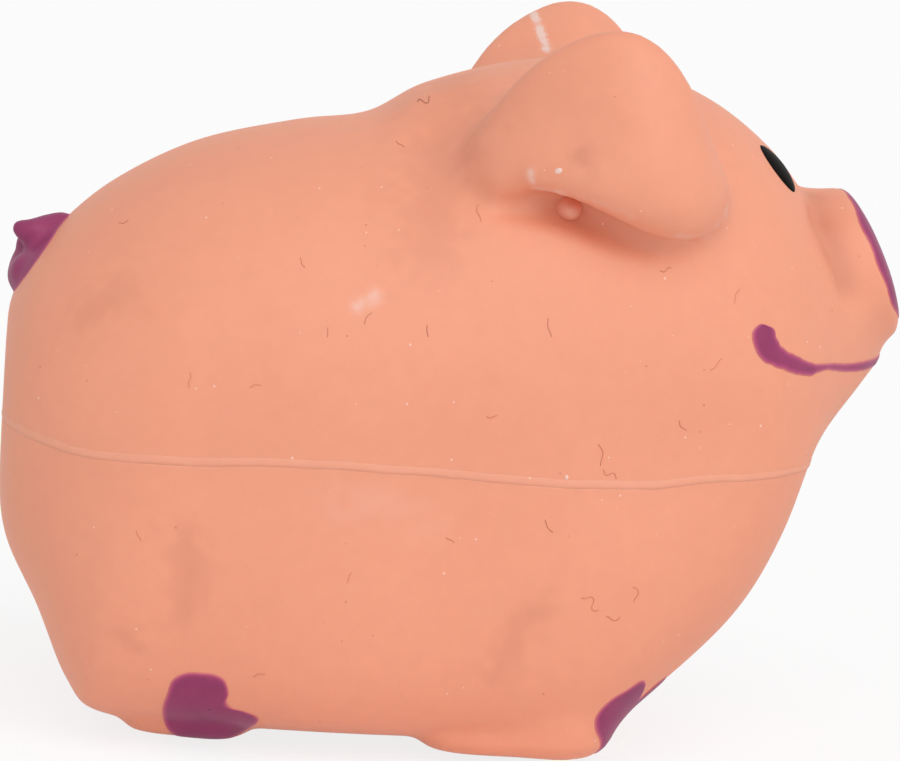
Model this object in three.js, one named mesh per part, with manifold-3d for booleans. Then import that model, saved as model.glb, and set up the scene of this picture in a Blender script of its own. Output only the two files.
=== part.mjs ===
// Squeaky latex pig: two moulded skins bonded at a seam, coloured latex set into them,
// fibre fill inside and a reed squeaker pressed into the belly.
// Millimetres, +X from rump to snout, +Y to the pig's left, +Z up, soles on z = 0.
import * as THREE from "three";
import { LoftGeometry } from "three/addons/geometries/LoftGeometry.js";
import { mergeVertices } from "three/addons/utils/BufferGeometryUtils.js";
import Module from "manifold-3d";

const wasm = await Module();
wasm.setup();

// Fits
const CLEARANCE = 0.3;
const GLUE_LINE = 0.1;

// Body and skin
const BODY_LENGTH = 117;
const BODY_WIDTH = 76;
const CROWN_HEIGHT = 90;
const BELLY_HEIGHT = 1.7;
const WALL = 2.6;
const SEAM_HEIGHT = 39.2;
const BEAD_HEIGHT = 1;
const BEAD_PROUD = 0.4;

// Snout: its nose stands square to an axis tilted up from level
const SNOUT_WIDTH = 24;
const SNOUT_HEIGHT = 21;
const SNOUT_DEPTH = 13;
const SNOUT_ROOT = 30;
const SNOUT_TILT = 24;
const NOSE_FROM_RUMP = 0.996 * BODY_LENGTH;
const NOSE_RISE = 0.734 * CROWN_HEIGHT;
const NOSE_DOME = 1.4;
const NOSE_ROUND = 1.8;
const NOSE_WRAP = 3;
const NOSE_SKIN = 1.8;
const NOSTRIL_HEIGHT = 5;
const NOSTRIL_WIDTH = 3.2;
const NOSTRIL_DEPTH = 1.3;
const NOSTRIL_SPACING = 8.4;

// Ears: each a hood that grows out of the crown and droops forward, set by the middle of its outer face
const EAR_LENGTH = 35;
const EAR_HEIGHT = 25.5;
const EAR_REACH = BODY_WIDTH / 2;
const EAR_FROM_RUMP = 0.675 * BODY_LENGTH;
const EAR_DROP = 8;
const EAR_ROOT_BACK = 4;
const EAR_ROOT_RISE = 2;
const EAR_ROOT_OUT = 8;

// Eyes and mouth
const EYE_LENGTH = 7.6;
const EYE_WIDTH = 5.8;
const EYE_DEPTH = 2.2;
const EYE_PROUD = 0.5;
const EYE_FROM_RUMP = 0.858 * BODY_LENGTH;
const EYE_SPACING = 18;
const MOUTH_FROM_RUMP = 0.752 * BODY_LENGTH;
const MOUTH_RISE = 0.582 * CROWN_HEIGHT;
const MOUTH_SMILE = 6.5;
const MOUTH_HALF_ANGLE = 75;
const MOUTH_THICK = 3.4;
const MOUTH_THIN = 1.4;
const MOUTH_PROUD = 0.2;

// Feet and hooves
const REAR_FOOT_LENGTH = 23;
const FRONT_FOOT_LENGTH = 27;
const FOOT_WIDTH = 18;
const FOOT_HEIGHT = 9;
const REAR_TRACK = 31;
const FRONT_TRACK = 40;
const REAR_FOOT_FROM_RUMP = 0.227 * BODY_LENGTH;
const FRONT_FOOT_FROM_RUMP = 0.585 * BODY_LENGTH;
const HOOF_DEPTH = 1.2;
const HOOF_PROUD = 0.3;
const HOOF_INNER = 22;
const REAR_TOE_AHEAD = 0.6;
const REAR_TOE_RISE = 7;
const REAR_TOE_SIZE = 7.8;
const REAR_LOBE_AHEAD = 5.4;
const REAR_LOBE_RISE = 5.8;
const REAR_LOBE_SIZE = 5;
const FRONT_TOE_AHEAD = 12.2;
const FRONT_TOE_RISE = 6.4;
const FRONT_TOE_SIZE = 5.6;
const FRONT_LOBE_AHEAD = 14.2;
const FRONT_LOBE_RISE = 9.4;
const FRONT_LOBE_SIZE = 5.4;

// Tail
const TAIL_RISE = 0.67 * CROWN_HEIGHT;
const TAIL_BASE = 12.5;
const TAIL_BASE_HEIGHT = 1.9;
const TAIL_CURL = 6.6;
const TAIL_EYE = 1.6;
const TAIL_THICKNESS = 3.2;
const TAIL_TIP = 2.4;
const TAIL_CLIMB = 1.4;
const TAIL_TURNS = 1.1;
const TAIL_ROOT = 1;

// Squeaker, on an upright axis through the belly
const SQUEAKER_FROM_RUMP = 0.41 * BODY_LENGTH;
const BELLY_HOLE = 14;
const FLANGE_DIAMETER = 20;
const FLANGE_THICKNESS = 1;
const LATCH_DIAMETER = 17;
const LATCH_THICKNESS = 1.6;
const CUP_DIAMETER = 11;
const CUP_WALL = 1.2;
const CUP_HEIGHT = 7;
const AIR_HOLE = 3.6;
const TUBE_DIAMETER = 6;
const TUBE_BORE = 3.6;
const TUBE_LENGTH = 16;
const TUBE_CAP = 1.5;
const TUBE_SEAT = 3;
const FLAT_DEPTH = 2.2;
const LAY_ANGLE = 2.5;
const REED_WIDTH = 4.4;
const REED_LENGTH = 10.5;
const REED_THICKNESS = 0.3;
const COLLAR_DIAMETER = 9.2;
const COLLAR_LENGTH = 3;

// Body sections from rump to chin. Top and bottom are shares of the body's length and of the height
// from belly to crown; width is a share of the widest.
const BODY_SECTIONS = [
  { top: [0.003, 0.501], bottom: [0, 0.421], width: 0.09 },
  { top: [0.01, 0.572], bottom: [0.003, 0.32], width: 0.34 },
  { top: [0.025, 0.642], bottom: [0.021, 0.239], width: 0.54 },
  { top: [0.057, 0.702], bottom: [0.051, 0.149], width: 0.71 },
  { top: [0.117, 0.772], bottom: [0.089, 0.059], width: 0.84 },
  { top: [0.207, 0.841], bottom: [0.137, 0.014], width: 0.93 },
  { top: [0.316, 0.881], bottom: [0.256, 0.002], width: 0.98 },
  { top: [0.397, 0.899], bottom: [0.385, 0], width: 1 },
  { top: [0.46, 0.947], bottom: [0.496, 0], width: 0.99 },
  { top: [0.564, 0.991], bottom: [0.598, 0.001], width: 0.97 },
  { top: [0.667, 1], bottom: [0.686, 0.022], width: 0.92 },
  { top: [0.772, 0.958], bottom: [0.753, 0.086], width: 0.84 },
  { top: [0.849, 0.89], bottom: [0.831, 0.187], width: 0.73 },
  { top: [0.899, 0.812], bottom: [0.881, 0.29], width: 0.6 },
  { top: [0.94, 0.732], bottom: [0.918, 0.43], width: 0.43 },
  { top: [0.976, 0.657], bottom: [0.963, 0.525], width: 0.24 },
  { top: [0.994, 0.583], bottom: [0.991, 0.565], width: 0.07 },
];
// Squareness of the sections: ovals above, boxier below where the body is broad
const ROUND_ABOVE = 2.1;
const ROUND_BELOW = 5;

// Rim of the ear on the pig's left, from its back corner over the top: forward and up from the middle
// of the outer face in shares of the ear's length and height, out in shares of its reach, and how
// squarely the outer face leaves the rim
const EAR_RIM = [
  { forward: -0.657, up: -0.098, out: 0.605, square: 1.5 },
  { forward: -0.52, up: 0.165, out: 0.671, square: 1.5 },
  { forward: -0.346, up: 0.392, out: 0.763, square: 1.7 },
  { forward: -0.143, up: 0.549, out: 0.847, square: 2.0 },
  { forward: 0.046, up: 0.51, out: 0.842, square: 2.2 },
  { forward: 0.18, up: 0.271, out: 0.789, square: 2.2 },
  { forward: 0.291, up: -0.039, out: 0.697, square: 2.0 },
  { forward: 0.351, up: -0.255, out: 0.697, square: 2.0 },
  { forward: 0.28, up: -0.416, out: 0.789, square: 2.3 },
  { forward: 0.143, up: -0.455, out: 0.882, square: 2.6 },
  { forward: -0.057, up: -0.392, out: 0.921, square: 2.6 },
  { forward: -0.263, up: -0.282, out: 0.895, square: 2.3 },
  { forward: -0.471, up: -0.224, out: 0.763, square: 1.6 },
];
// Shares of the way from the rim in to the root, and rings of the domed outer face
const EAR_INWARD = [0.8, 0.56, 0.32, 0.12];
const EAR_RINGS = 8;
const EAR_DOME = 0.48;

const latex = material(0xf0a285, 0.62);
const seamLatex = material(0xeea28a, 0.6);
const purpleLatex = material(0x8c4168, 0.55);
const blackGloss = material(0x171512, 0.18);
const fibre = material(0xf2efe8, 0.95);
const whitePlastic = material(0xe9e6dc, 0.45);
const clearFilm = material(0xd8dde0, 0.25);

function material(color, roughness) {
  return new THREE.MeshStandardMaterial({ color, roughness, metalness: 0 });
}

function radians(degrees) {
  return THREE.MathUtils.degToRad(degrees);
}

// A plain copy of a form's surface, its corners shared
function clean(form) {
  const geometry = new THREE.BufferGeometry().copy(form);
  geometry.deleteAttribute("normal");
  geometry.deleteAttribute("uv");
  return mergeVertices(geometry, 1e-4);
}

function solid(geometry) {
  const tidy = clean(geometry);
  return new wasm.Manifold(new wasm.Mesh({
    numProp: 3,
    vertProperties: new Float32Array(tidy.getAttribute("position").array),
    triVerts: new Uint32Array(tidy.index.array),
  }));
}

// The same form, its surface moved in along the normals by a depth
function inset(geometry, depth) {
  const moved = clean(geometry);
  moved.computeVertexNormals();
  const at = moved.getAttribute("position");
  const normal = moved.getAttribute("normal");
  for (let i = 0; i < at.count; i++) {
    at.setXYZ(
      i,
      at.getX(i) - depth * normal.getX(i),
      at.getY(i) - depth * normal.getY(i),
      at.getZ(i) - depth * normal.getZ(i),
    );
  }
  return moved;
}

// The same form on the pig's other side
function mirrored(geometry) {
  const other = clean(geometry);
  other.scale(1, -1, 1);
  const index = other.index;
  for (let i = 0; i < index.count; i += 3) {
    const first = index.getX(i);
    index.setX(i, index.getX(i + 1));
    index.setX(i + 1, first);
  }
  return other;
}

function ellipsoid(length, width, height, around = 20, along = 12) {
  const ball = new THREE.SphereGeometry(1, around, along);
  ball.scale(length / 2, width / 2, height / 2);
  return ball;
}

// A profile of [radius, height] pairs, anticlockwise and closed, turned about z
function revolved(profile, segments = 24) {
  const points = profile.map(([radius, height]) => new THREE.Vector2(radius, height));
  const turned = new THREE.LatheGeometry(points, segments);
  turned.rotateX(Math.PI / 2);
  return turned;
}

function closedRing(profile, segments = 24) {
  return revolved([...profile, profile[0]], segments);
}

function upright(diameter, from, to, segments = 24) {
  const radius = diameter / 2;
  return revolved([[0, from], [radius, from], [radius, to], [0, to]], segments);
}

// A round rope along a curve, its radius set along the way
function rope(curve, steps, sides, radiusAt) {
  const frames = curve.computeFrenetFrames(steps, false);
  const sections = [];
  for (let i = 0; i <= steps; i++) {
    const share = i / steps;
    const middle = curve.getPointAt(share);
    const radius = radiusAt(share);
    const ring = [];
    for (let j = 0; j < sides; j++) {
      const angle = (2 * Math.PI * j) / sides;
      const spot = middle.clone();
      spot.addScaledVector(frames.normals[i], radius * Math.cos(angle));
      spot.addScaledVector(frames.binormals[i], radius * Math.sin(angle));
      ring.push(spot);
    }
    sections.push(ring);
  }
  return new LoftGeometry(sections, { capStart: true, capEnd: true });
}

function squareOff(value, power) {
  return Math.sign(value) * Math.abs(value) ** (2 / power);
}

// Body: slanted rounded sections strung along the top and bottom outlines
function bodyLine(edge) {
  const points = BODY_SECTIONS.map((section) => new THREE.Vector3(
    section[edge][0] * BODY_LENGTH,
    section.width * BODY_WIDTH / 2,
    BELLY_HEIGHT + section[edge][1] * (CROWN_HEIGHT - BELLY_HEIGHT),
  ));
  return new THREE.CatmullRomCurve3(points, false, "catmullrom", 0.5);
}

function bodyForm(rings, around) {
  const top = bodyLine("top");
  const bottom = bodyLine("bottom");
  const sections = [];
  for (let i = 0; i <= rings; i++) {
    const above = top.getPoint(i / rings);
    const below = bottom.getPoint(i / rings);
    const breadth = above.y / (BODY_WIDTH / 2);
    const roundBelow = THREE.MathUtils.lerp(ROUND_ABOVE, ROUND_BELOW, breadth ** 2);
    const ring = [];
    for (let j = 0; j < around; j++) {
      const angle = (2 * Math.PI * j) / around;
      const power = Math.sin(angle) > 0 ? ROUND_ABOVE : roundBelow;
      const lift = (1 + squareOff(Math.sin(angle), power)) / 2;
      const spot = below.clone().lerp(above, lift);
      spot.y = above.y * squareOff(Math.cos(angle), power);
      ring.push(spot);
    }
    sections.push(ring);
  }
  return new LoftGeometry(sections, { capStart: true, capEnd: true });
}

// Snout: a turned barrel with a rounded rim and a domed nose, made oval and tilted
function snoutProfile(depth) {
  const radius = SNOUT_HEIGHT / 2 - depth;
  const rim = -NOSE_DOME - depth;
  const round = Math.max(NOSE_ROUND - depth, CLEARANCE);
  const points = [];
  for (let i = 0; i <= 3; i++) {
    const angle = (i / 3) * Math.PI / 2;
    points.push([
      radius - round * (1 - Math.cos(angle)),
      rim - round * (1 - Math.sin(angle)),
    ]);
  }
  points.push([0.5 * (radius - round), rim + 0.75 * NOSE_DOME]);
  points.push([0, rim + NOSE_DOME]);
  return points;
}

function ontoSnout(geometry) {
  geometry.scale(1, SNOUT_WIDTH / SNOUT_HEIGHT, 1);
  geometry.rotateY(radians(90 - SNOUT_TILT));
  geometry.translate(NOSE_FROM_RUMP, 0, NOSE_RISE);
  return geometry;
}

function snoutForm() {
  const root = SNOUT_ROOT / 2;
  return ontoSnout(revolved([[0, -SNOUT_DEPTH], [root, -SNOUT_DEPTH], ...snoutProfile(0)], 24));
}

function nosePadForm() {
  const outside = snoutProfile(0);
  const inside = snoutProfile(NOSE_SKIN).reverse();
  const hem = -NOSE_DOME - NOSE_WRAP;
  const radius = SNOUT_HEIGHT / 2;
  return ontoSnout(revolved([...inside, [radius - NOSE_SKIN, hem], [radius, hem], ...outside], 24));
}

function nosePocketForm() {
  const core = snoutProfile(NOSE_SKIN + CLEARANCE).reverse();
  const hem = -NOSE_DOME - NOSE_WRAP - CLEARANCE;
  const radius = SNOUT_HEIGHT / 2;
  const reach = radius + WALL;
  return ontoSnout(revolved([
    ...core,
    [radius - NOSE_SKIN - CLEARANCE, hem],
    [reach, hem],
    [reach, WALL],
    [0, WALL],
  ], 24));
}

function nostrilForms() {
  return [-1, 1].map((side) => {
    const dimple = ellipsoid(NOSTRIL_HEIGHT, NOSTRIL_WIDTH, 2 * NOSTRIL_DEPTH, 12, 8);
    dimple.scale(1, SNOUT_HEIGHT / SNOUT_WIDTH, 1);
    dimple.translate(0, side * NOSTRIL_SPACING / 2 * SNOUT_HEIGHT / SNOUT_WIDTH, 0);
    return ontoSnout(dimple);
  });
}

// Ear on the pig's left: rings from the root out to the rim, then domed over the outer face
function earForm() {
  const middle = new THREE.Vector3(EAR_FROM_RUMP, EAR_REACH, CROWN_HEIGHT - EAR_DROP);
  const root = new THREE.Vector3(middle.x - EAR_ROOT_BACK, EAR_ROOT_OUT, middle.z + EAR_ROOT_RISE);
  const spots = EAR_RIM.map((spot) => new THREE.Vector3(
    middle.x + spot.forward * EAR_LENGTH,
    spot.out * EAR_REACH,
    middle.z + spot.up * EAR_HEIGHT,
  ));
  const squares = EAR_RIM.map((spot) => new THREE.Vector3(spot.square, 0, 0));
  const rim = new THREE.CatmullRomCurve3(spots, true, "catmullrom", 0.5);
  const squareness = new THREE.CatmullRomCurve3(squares, true, "catmullrom", 0.5);
  const around = 26;
  const edges = Array.from({ length: around }, (_, j) => rim.getPoint(j / around));
  const sections = EAR_INWARD.map((share) => edges.map((edge) => edge.clone().lerp(root, share)));
  for (let i = 0; i <= EAR_RINGS; i++) {
    const share = Math.cos((i / EAR_RINGS) * EAR_DOME * Math.PI);
    sections.push(edges.map((edge, j) => {
      const square = squareness.getPoint(j / around).x;
      const spot = middle.clone().lerp(edge, share);
      spot.y = THREE.MathUtils.lerp(edge.y, middle.y, (1 - share ** square) ** (1 / square));
      return spot;
    }));
  }
  return new LoftGeometry(sections, { capStart: true, capEnd: true });
}

// Foot on the pig's left: a low oval stub with a flat sole, rounded up into the belly
function footForm(foot) {
  const stub = revolved([
    [0, 0],
    [0.6, 0],
    [0.84, 0.09 * FOOT_HEIGHT],
    [1, 0.3 * FOOT_HEIGHT],
    [0.97, 0.65 * FOOT_HEIGHT],
    [0.7, 0.95 * FOOT_HEIGHT],
    [0, FOOT_HEIGHT],
  ], 18);
  stub.scale(foot.length / 2, FOOT_WIDTH / 2, 1);
  stub.translate(foot.along, foot.track / 2, 0);
  return stub;
}

// Where a ray from outside first meets the moulded form, with the face's outward normal
function meet(meshes, from, towards) {
  const caster = new THREE.Raycaster(from, towards.clone().sub(from).normalize());
  const hit = caster.intersectObjects(meshes)[0];
  return { point: hit.point, normal: hit.face.normal.clone() };
}

const FAR = 10 * BODY_LENGTH;
const body = clean(bodyForm(32, 28));
const snout = clean(snoutForm());
const faceMeshes = [body, snout].map((form) => {
  form.computeVertexNormals();
  return new THREE.Mesh(form, latex);
});

// A lens sunk into the surface, its long way down the slope towards the front
function eyeForm(grow) {
  const across = EYE_SPACING / 2;
  const from = new THREE.Vector3(EYE_FROM_RUMP, across, FAR);
  const seat = meet(faceMeshes, from, new THREE.Vector3(EYE_FROM_RUMP, across, 0));
  const slope = new THREE.Vector3(1, 0, 0).projectOnPlane(seat.normal).normalize();
  const side = new THREE.Vector3().crossVectors(seat.normal, slope);
  const eye = ellipsoid(EYE_LENGTH + 2 * grow, EYE_WIDTH + 2 * grow, EYE_DEPTH + 2 * grow, 16, 6);
  eye.applyMatrix4(new THREE.Matrix4().makeBasis(slope, side, seat.normal));
  const sunk = seat.point.clone().addScaledVector(seat.normal, EYE_PROUD - EYE_DEPTH / 2);
  eye.translate(sunk.x, sunk.y, sunk.z);
  return eye;
}

// The two round toes of a hoof as bars through the pig's left flank
function toeBars(foot, grow) {
  return foot.toes.map(([ahead, rise, size]) => {
    const bar = upright(size + 2 * grow, HOOF_INNER - grow, BODY_WIDTH, 20);
    bar.rotateX(-Math.PI / 2);
    bar.translate(foot.along + ahead, 0, rise);
    return bar;
  });
}

// Mouth: a rope laid along the smile on the face
function mouthForm(grow) {
  const points = [];
  const spans = 12;
  for (let i = 0; i <= spans; i++) {
    const share = (2 * i) / spans - 1;
    const turn = radians(share * MOUTH_HALF_ANGLE);
    const rise = MOUTH_RISE + MOUTH_SMILE * share ** 4;
    const middle = new THREE.Vector3(MOUTH_FROM_RUMP, 0, rise);
    const from = new THREE.Vector3(
      MOUTH_FROM_RUMP + FAR * Math.cos(turn),
      FAR * Math.sin(turn),
      rise,
    );
    points.push(meet(faceMeshes, from, middle).point);
  }
  const smile = new THREE.CatmullRomCurve3(points);
  return rope(smile, 20, 6, (share) => {
    const fat = Math.abs(2 * share - 1) ** 3;
    const end = Math.min(1, 0.35 + 12 * share, 0.35 + 12 * (1 - share));
    return grow + end * (MOUTH_THIN + (MOUTH_THICK - MOUTH_THIN) * fat) / 2;
  });
}

// Tail: a curl that leaves the rump and tapers to its tip
class Curl extends THREE.Curve {
  constructor(seat) {
    super();
    this.seat = seat;
    this.side = new THREE.Vector3(0, 1, 0);
    this.rise = new THREE.Vector3().crossVectors(seat.normal, this.side).negate();
  }

  getPoint(share, target = new THREE.Vector3()) {
    const turn = 2 * Math.PI * TAIL_TURNS * share - Math.PI / 2;
    const radius = THREE.MathUtils.lerp(TAIL_CURL, TAIL_EYE, share) / 2;
    const out = TAIL_BASE_HEIGHT - TAIL_ROOT + TAIL_CLIMB * share;
    target.copy(this.seat.point);
    target.addScaledVector(this.side, radius * Math.cos(turn));
    target.addScaledVector(this.rise, radius * Math.sin(turn));
    return target.addScaledVector(this.seat.normal, out);
  }
}

function tailSolid(grow) {
  const seat = meet(
    faceMeshes,
    new THREE.Vector3(-FAR, 0, TAIL_RISE),
    new THREE.Vector3(0, 0, TAIL_RISE),
  );
  const curl = new Curl(seat);
  const across = TAIL_BASE + 2 * grow;
  const base = ellipsoid(across, across, 2 * (TAIL_BASE_HEIGHT + grow), 14, 8);
  base.applyMatrix4(new THREE.Matrix4().makeBasis(curl.rise, curl.side, seat.normal));
  base.translate(seat.point.x, seat.point.y, seat.point.z);
  const coil = rope(curl, 22, 7, (share) => {
    const end = Math.min(1, 0.5 + 8 * share, 0.45 + 10 * (1 - share));
    return grow + end * THREE.MathUtils.lerp(TAIL_THICKNESS, TAIL_TIP, share) / 2;
  });
  return solid(base).add(solid(coil));
}

function slab(from, to) {
  const block = new THREE.BoxGeometry(FAR, FAR, to - from);
  block.translate(0, 0, (from + to) / 2);
  return solid(block);
}

function joined(solids) {
  return solids.reduce((whole, next) => whole.add(next));
}

function without(whole, cutters) {
  return cutters.reduce((left, cutter) => left.subtract(cutter), whole);
}

// Squeaker levels, from the outside up
const flangeTop = BELLY_HEIGHT - CLEARANCE;
const flangeFoot = flangeTop - FLANGE_THICKNESS;
const latchFoot = BELLY_HEIGHT + WALL + CLEARANCE;
const latchTop = latchFoot + LATCH_THICKNESS;
const cupTop = latchTop + CUP_HEIGHT;
const tubeFoot = cupTop - TUBE_SEAT;
const tubeTop = tubeFoot + TUBE_LENGTH;
const collarFoot = cupTop + CLEARANCE;
const collarTop = collarFoot + COLLAR_LENGTH;
const flatAt = TUBE_DIAMETER / 2 - FLAT_DEPTH;
const reedAt = flatAt + CLEARANCE;

function onSqueaker(geometry) {
  geometry.translate(SQUEAKER_FROM_RUMP, 0, 0);
  return geometry;
}

function cupForm() {
  const air = AIR_HOLE / 2;
  const neck = BELLY_HOLE / 2 - CLEARANCE;
  const latch = LATCH_DIAMETER / 2;
  const outer = CUP_DIAMETER / 2;
  const inner = outer - CUP_WALL;
  const seat = TUBE_DIAMETER / 2 + CLEARANCE;
  const ledge = tubeFoot - CLEARANCE;
  return onSqueaker(closedRing([
    [air, flangeFoot],
    [FLANGE_DIAMETER / 2, flangeFoot],
    [FLANGE_DIAMETER / 2, flangeTop],
    [neck, flangeTop],
    [neck, latchFoot],
    [latch, latchFoot],
    [outer, latchTop],
    [outer, cupTop],
    [seat, cupTop],
    [seat, ledge],
    [TUBE_BORE / 2, ledge],
    [TUBE_BORE / 2, ledge - CUP_WALL],
    [inner, ledge - 2 * CUP_WALL],
    [inner, flangeTop],
    [air, flangeTop],
  ]));
}

// The half space in front of the tube's flat, which leans back from the collar's top edge
function flatCutter() {
  const block = new THREE.BoxGeometry(TUBE_DIAMETER, 2 * TUBE_DIAMETER, 2 * TUBE_LENGTH);
  block.translate(TUBE_DIAMETER / 2, 0, TUBE_LENGTH - COLLAR_LENGTH - 2 * CLEARANCE);
  block.rotateY(radians(-LAY_ANGLE));
  block.translate(flatAt, 0, collarTop);
  return onSqueaker(block);
}

function collarForm() {
  const ring = upright(COLLAR_DIAMETER, collarFoot, collarTop);
  const bore = upright(TUBE_DIAMETER + 2 * CLEARANCE, collarFoot - WALL, collarTop + WALL);
  const depth = reedAt + REED_THICKNESS + CLEARANCE;
  const keep = new THREE.BoxGeometry(FAR, FAR, FAR);
  keep.translate(depth - FAR / 2, 0, 0);
  const [outer, inner, limit] = [ring, bore, keep].map((form) => solid(onSqueaker(form)));
  return outer.subtract(inner.intersect(limit));
}

function reedForm() {
  const tongue = new THREE.Shape();
  const half = REED_WIDTH / 2;
  tongue.moveTo(-half, 0);
  tongue.lineTo(half, 0);
  tongue.lineTo(half, REED_LENGTH - half);
  tongue.absarc(0, REED_LENGTH - half, half, 0, Math.PI, false);
  tongue.lineTo(-half, 0);
  const reed = new THREE.ExtrudeGeometry(tongue, {
    depth: REED_THICKNESS,
    bevelEnabled: false,
    curveSegments: 12,
  });
  reed.rotateX(Math.PI / 2);
  reed.rotateZ(Math.PI / 2);
  reed.translate(reedAt, 0, collarTop - COLLAR_LENGTH / 2);
  return onSqueaker(reed);
}

const toy = new THREE.Group();
toy.name = "latex_pig";

function addPiece(name, form, finish) {
  const mesh = form.getMesh();
  const geometry = new THREE.BufferGeometry();
  geometry.setAttribute("position", new THREE.Float32BufferAttribute(mesh.vertProperties, 3));
  geometry.setIndex(new THREE.Uint32BufferAttribute(mesh.triVerts, 1));
  geometry.computeVertexNormals();
  const piece = new THREE.Mesh(geometry, finish);
  piece.name = name;
  toy.add(piece);
}

const bothSides = (geometry) => [solid(geometry), solid(mirrored(geometry))];
const beadFoot = SEAM_HEIGHT - BEAD_HEIGHT / 2;
const beadTop = SEAM_HEIGHT + BEAD_HEIGHT / 2;
const aboveSeam = slab(beadTop + GLUE_LINE, FAR);
const belowSeam = slab(-FAR, beadFoot - GLUE_LINE);
const cavityForm = bodyForm(16, 16);
const cavity = solid(inset(cavityForm, WALL));
const stuffing = solid(inset(cavityForm, WALL + CLEARANCE));
const bodySolid = solid(body);
const nostrils = nostrilForms().map(solid);
const feet = {
  rear: {
    along: REAR_FOOT_FROM_RUMP,
    track: REAR_TRACK,
    length: REAR_FOOT_LENGTH,
    toes: [
      [REAR_TOE_AHEAD, REAR_TOE_RISE, REAR_TOE_SIZE],
      [REAR_LOBE_AHEAD, REAR_LOBE_RISE, REAR_LOBE_SIZE],
    ],
  },
  front: {
    along: FRONT_FOOT_FROM_RUMP,
    track: FRONT_TRACK,
    length: FRONT_FOOT_LENGTH,
    toes: [
      [FRONT_TOE_AHEAD, FRONT_TOE_RISE, FRONT_TOE_SIZE],
      [FRONT_LOBE_AHEAD, FRONT_LOBE_RISE, FRONT_LOBE_SIZE],
    ],
  },
};

// Skins
const upperWhole = joined([bodySolid, solid(snout), ...bothSides(earForm())]).intersect(aboveSeam);
addPiece("upper_skin", without(upperWhole, [
  cavity,
  solid(nosePocketForm()),
  ...bothSides(eyeForm(CLEARANCE)),
  solid(mouthForm(CLEARANCE)),
  tailSolid(CLEARANCE),
]), latex);

const underside = (depth) => joined([
  solid(inset(body, depth)),
  ...Object.values(feet).flatMap((foot) => bothSides(inset(footForm(foot), depth))),
]);
const underHooves = underside(HOOF_DEPTH + CLEARANCE);
const toePockets = Object.values(feet).flatMap(
  (foot) => toeBars(foot, CLEARANCE).flatMap(bothSides),
).map((bar) => bar.subtract(underHooves));
const bellyHole = joined([
  upright(FLANGE_DIAMETER + 2 * CLEARANCE, -WALL, BELLY_HEIGHT),
  upright(BELLY_HOLE, -WALL, CUP_HEIGHT + LATCH_THICKNESS),
  upright(LATCH_DIAMETER + 2 * CLEARANCE, BELLY_HEIGHT + WALL, CUP_HEIGHT + LATCH_THICKNESS),
].map((cut) => solid(onSqueaker(cut))));
const lowerWhole = underside(0).intersect(belowSeam);
addPiece("lower_skin", without(lowerWhole, [cavity, bellyHole, ...toePockets]), latex);

const beadBand = solid(inset(body, -BEAD_PROUD)).intersect(slab(beadFoot, beadTop));
addPiece("seam_bead", beadBand.subtract(cavity), seamLatex);

// Face and tail
addPiece("nose_pad", without(solid(nosePadForm()), nostrils), purpleLatex);
const [eyeLeft, eyeRight] = bothSides(eyeForm(0));
addPiece("eye_left", eyeLeft, blackGloss);
addPiece("eye_right", eyeRight, blackGloss);
const faceLimit = joined([solid(inset(body, -MOUTH_PROUD)), solid(inset(snout, -MOUTH_PROUD))]);
addPiece("mouth_line", solid(mouthForm(0)).intersect(faceLimit), purpleLatex);
addPiece("tail", tailSolid(0), purpleLatex);

// Hooves
const hoofLayer = underside(-HOOF_PROUD).subtract(underside(HOOF_DEPTH));
for (const [place, foot] of Object.entries(feet)) {
  const toes = toeBars(foot, 0);
  const left = joined(toes.map(solid));
  const right = joined(toes.map((toe) => solid(mirrored(toe))));
  addPiece(`hoof_${place}_left`, hoofLayer.intersect(left), purpleLatex);
  addPiece(`hoof_${place}_right`, hoofLayer.intersect(right), purpleLatex);
}

// Fill
const squeakerRoom = solid(onSqueaker(upright(
  LATCH_DIAMETER + 2 * CLEARANCE,
  -WALL,
  tubeTop + CLEARANCE,
)));
const fillGap = CLEARANCE / 2;
const lowerWad = stuffing.intersect(slab(-FAR, SEAM_HEIGHT - fillGap));
const upperWad = stuffing.intersect(slab(SEAM_HEIGHT + fillGap, FAR));
addPiece("lower_fill", lowerWad.subtract(squeakerRoom), fibre);
addPiece("upper_fill", upperWad, fibre);

// Squeaker
addPiece("squeaker_cup", solid(cupForm()), whitePlastic);
const tubeBore = solid(onSqueaker(upright(TUBE_BORE, tubeFoot - WALL, tubeTop - TUBE_CAP)));
const tubeBlank = solid(onSqueaker(upright(TUBE_DIAMETER, tubeFoot, tubeTop)));
addPiece("reed_tube", without(tubeBlank, [tubeBore, solid(flatCutter())]), whitePlastic);
addPiece("reed_collar", collarForm(), whitePlastic);
addPiece("reed", solid(reedForm()), clearFilm);

// The origin lies under the middle of the toy
const bounds = new THREE.Box3().setFromObject(toy);
toy.position.x = -(bounds.min.x + bounds.max.x) / 2;
toy.updateMatrixWorld(true);

export default toy;
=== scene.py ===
"""Looks of the squeaky latex pig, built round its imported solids.

Tables give millimetres measured from the rump, as on the solids: x forward, y to the pig's left, z up.
The scene is in metres.
"""
import functools
import math

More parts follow.
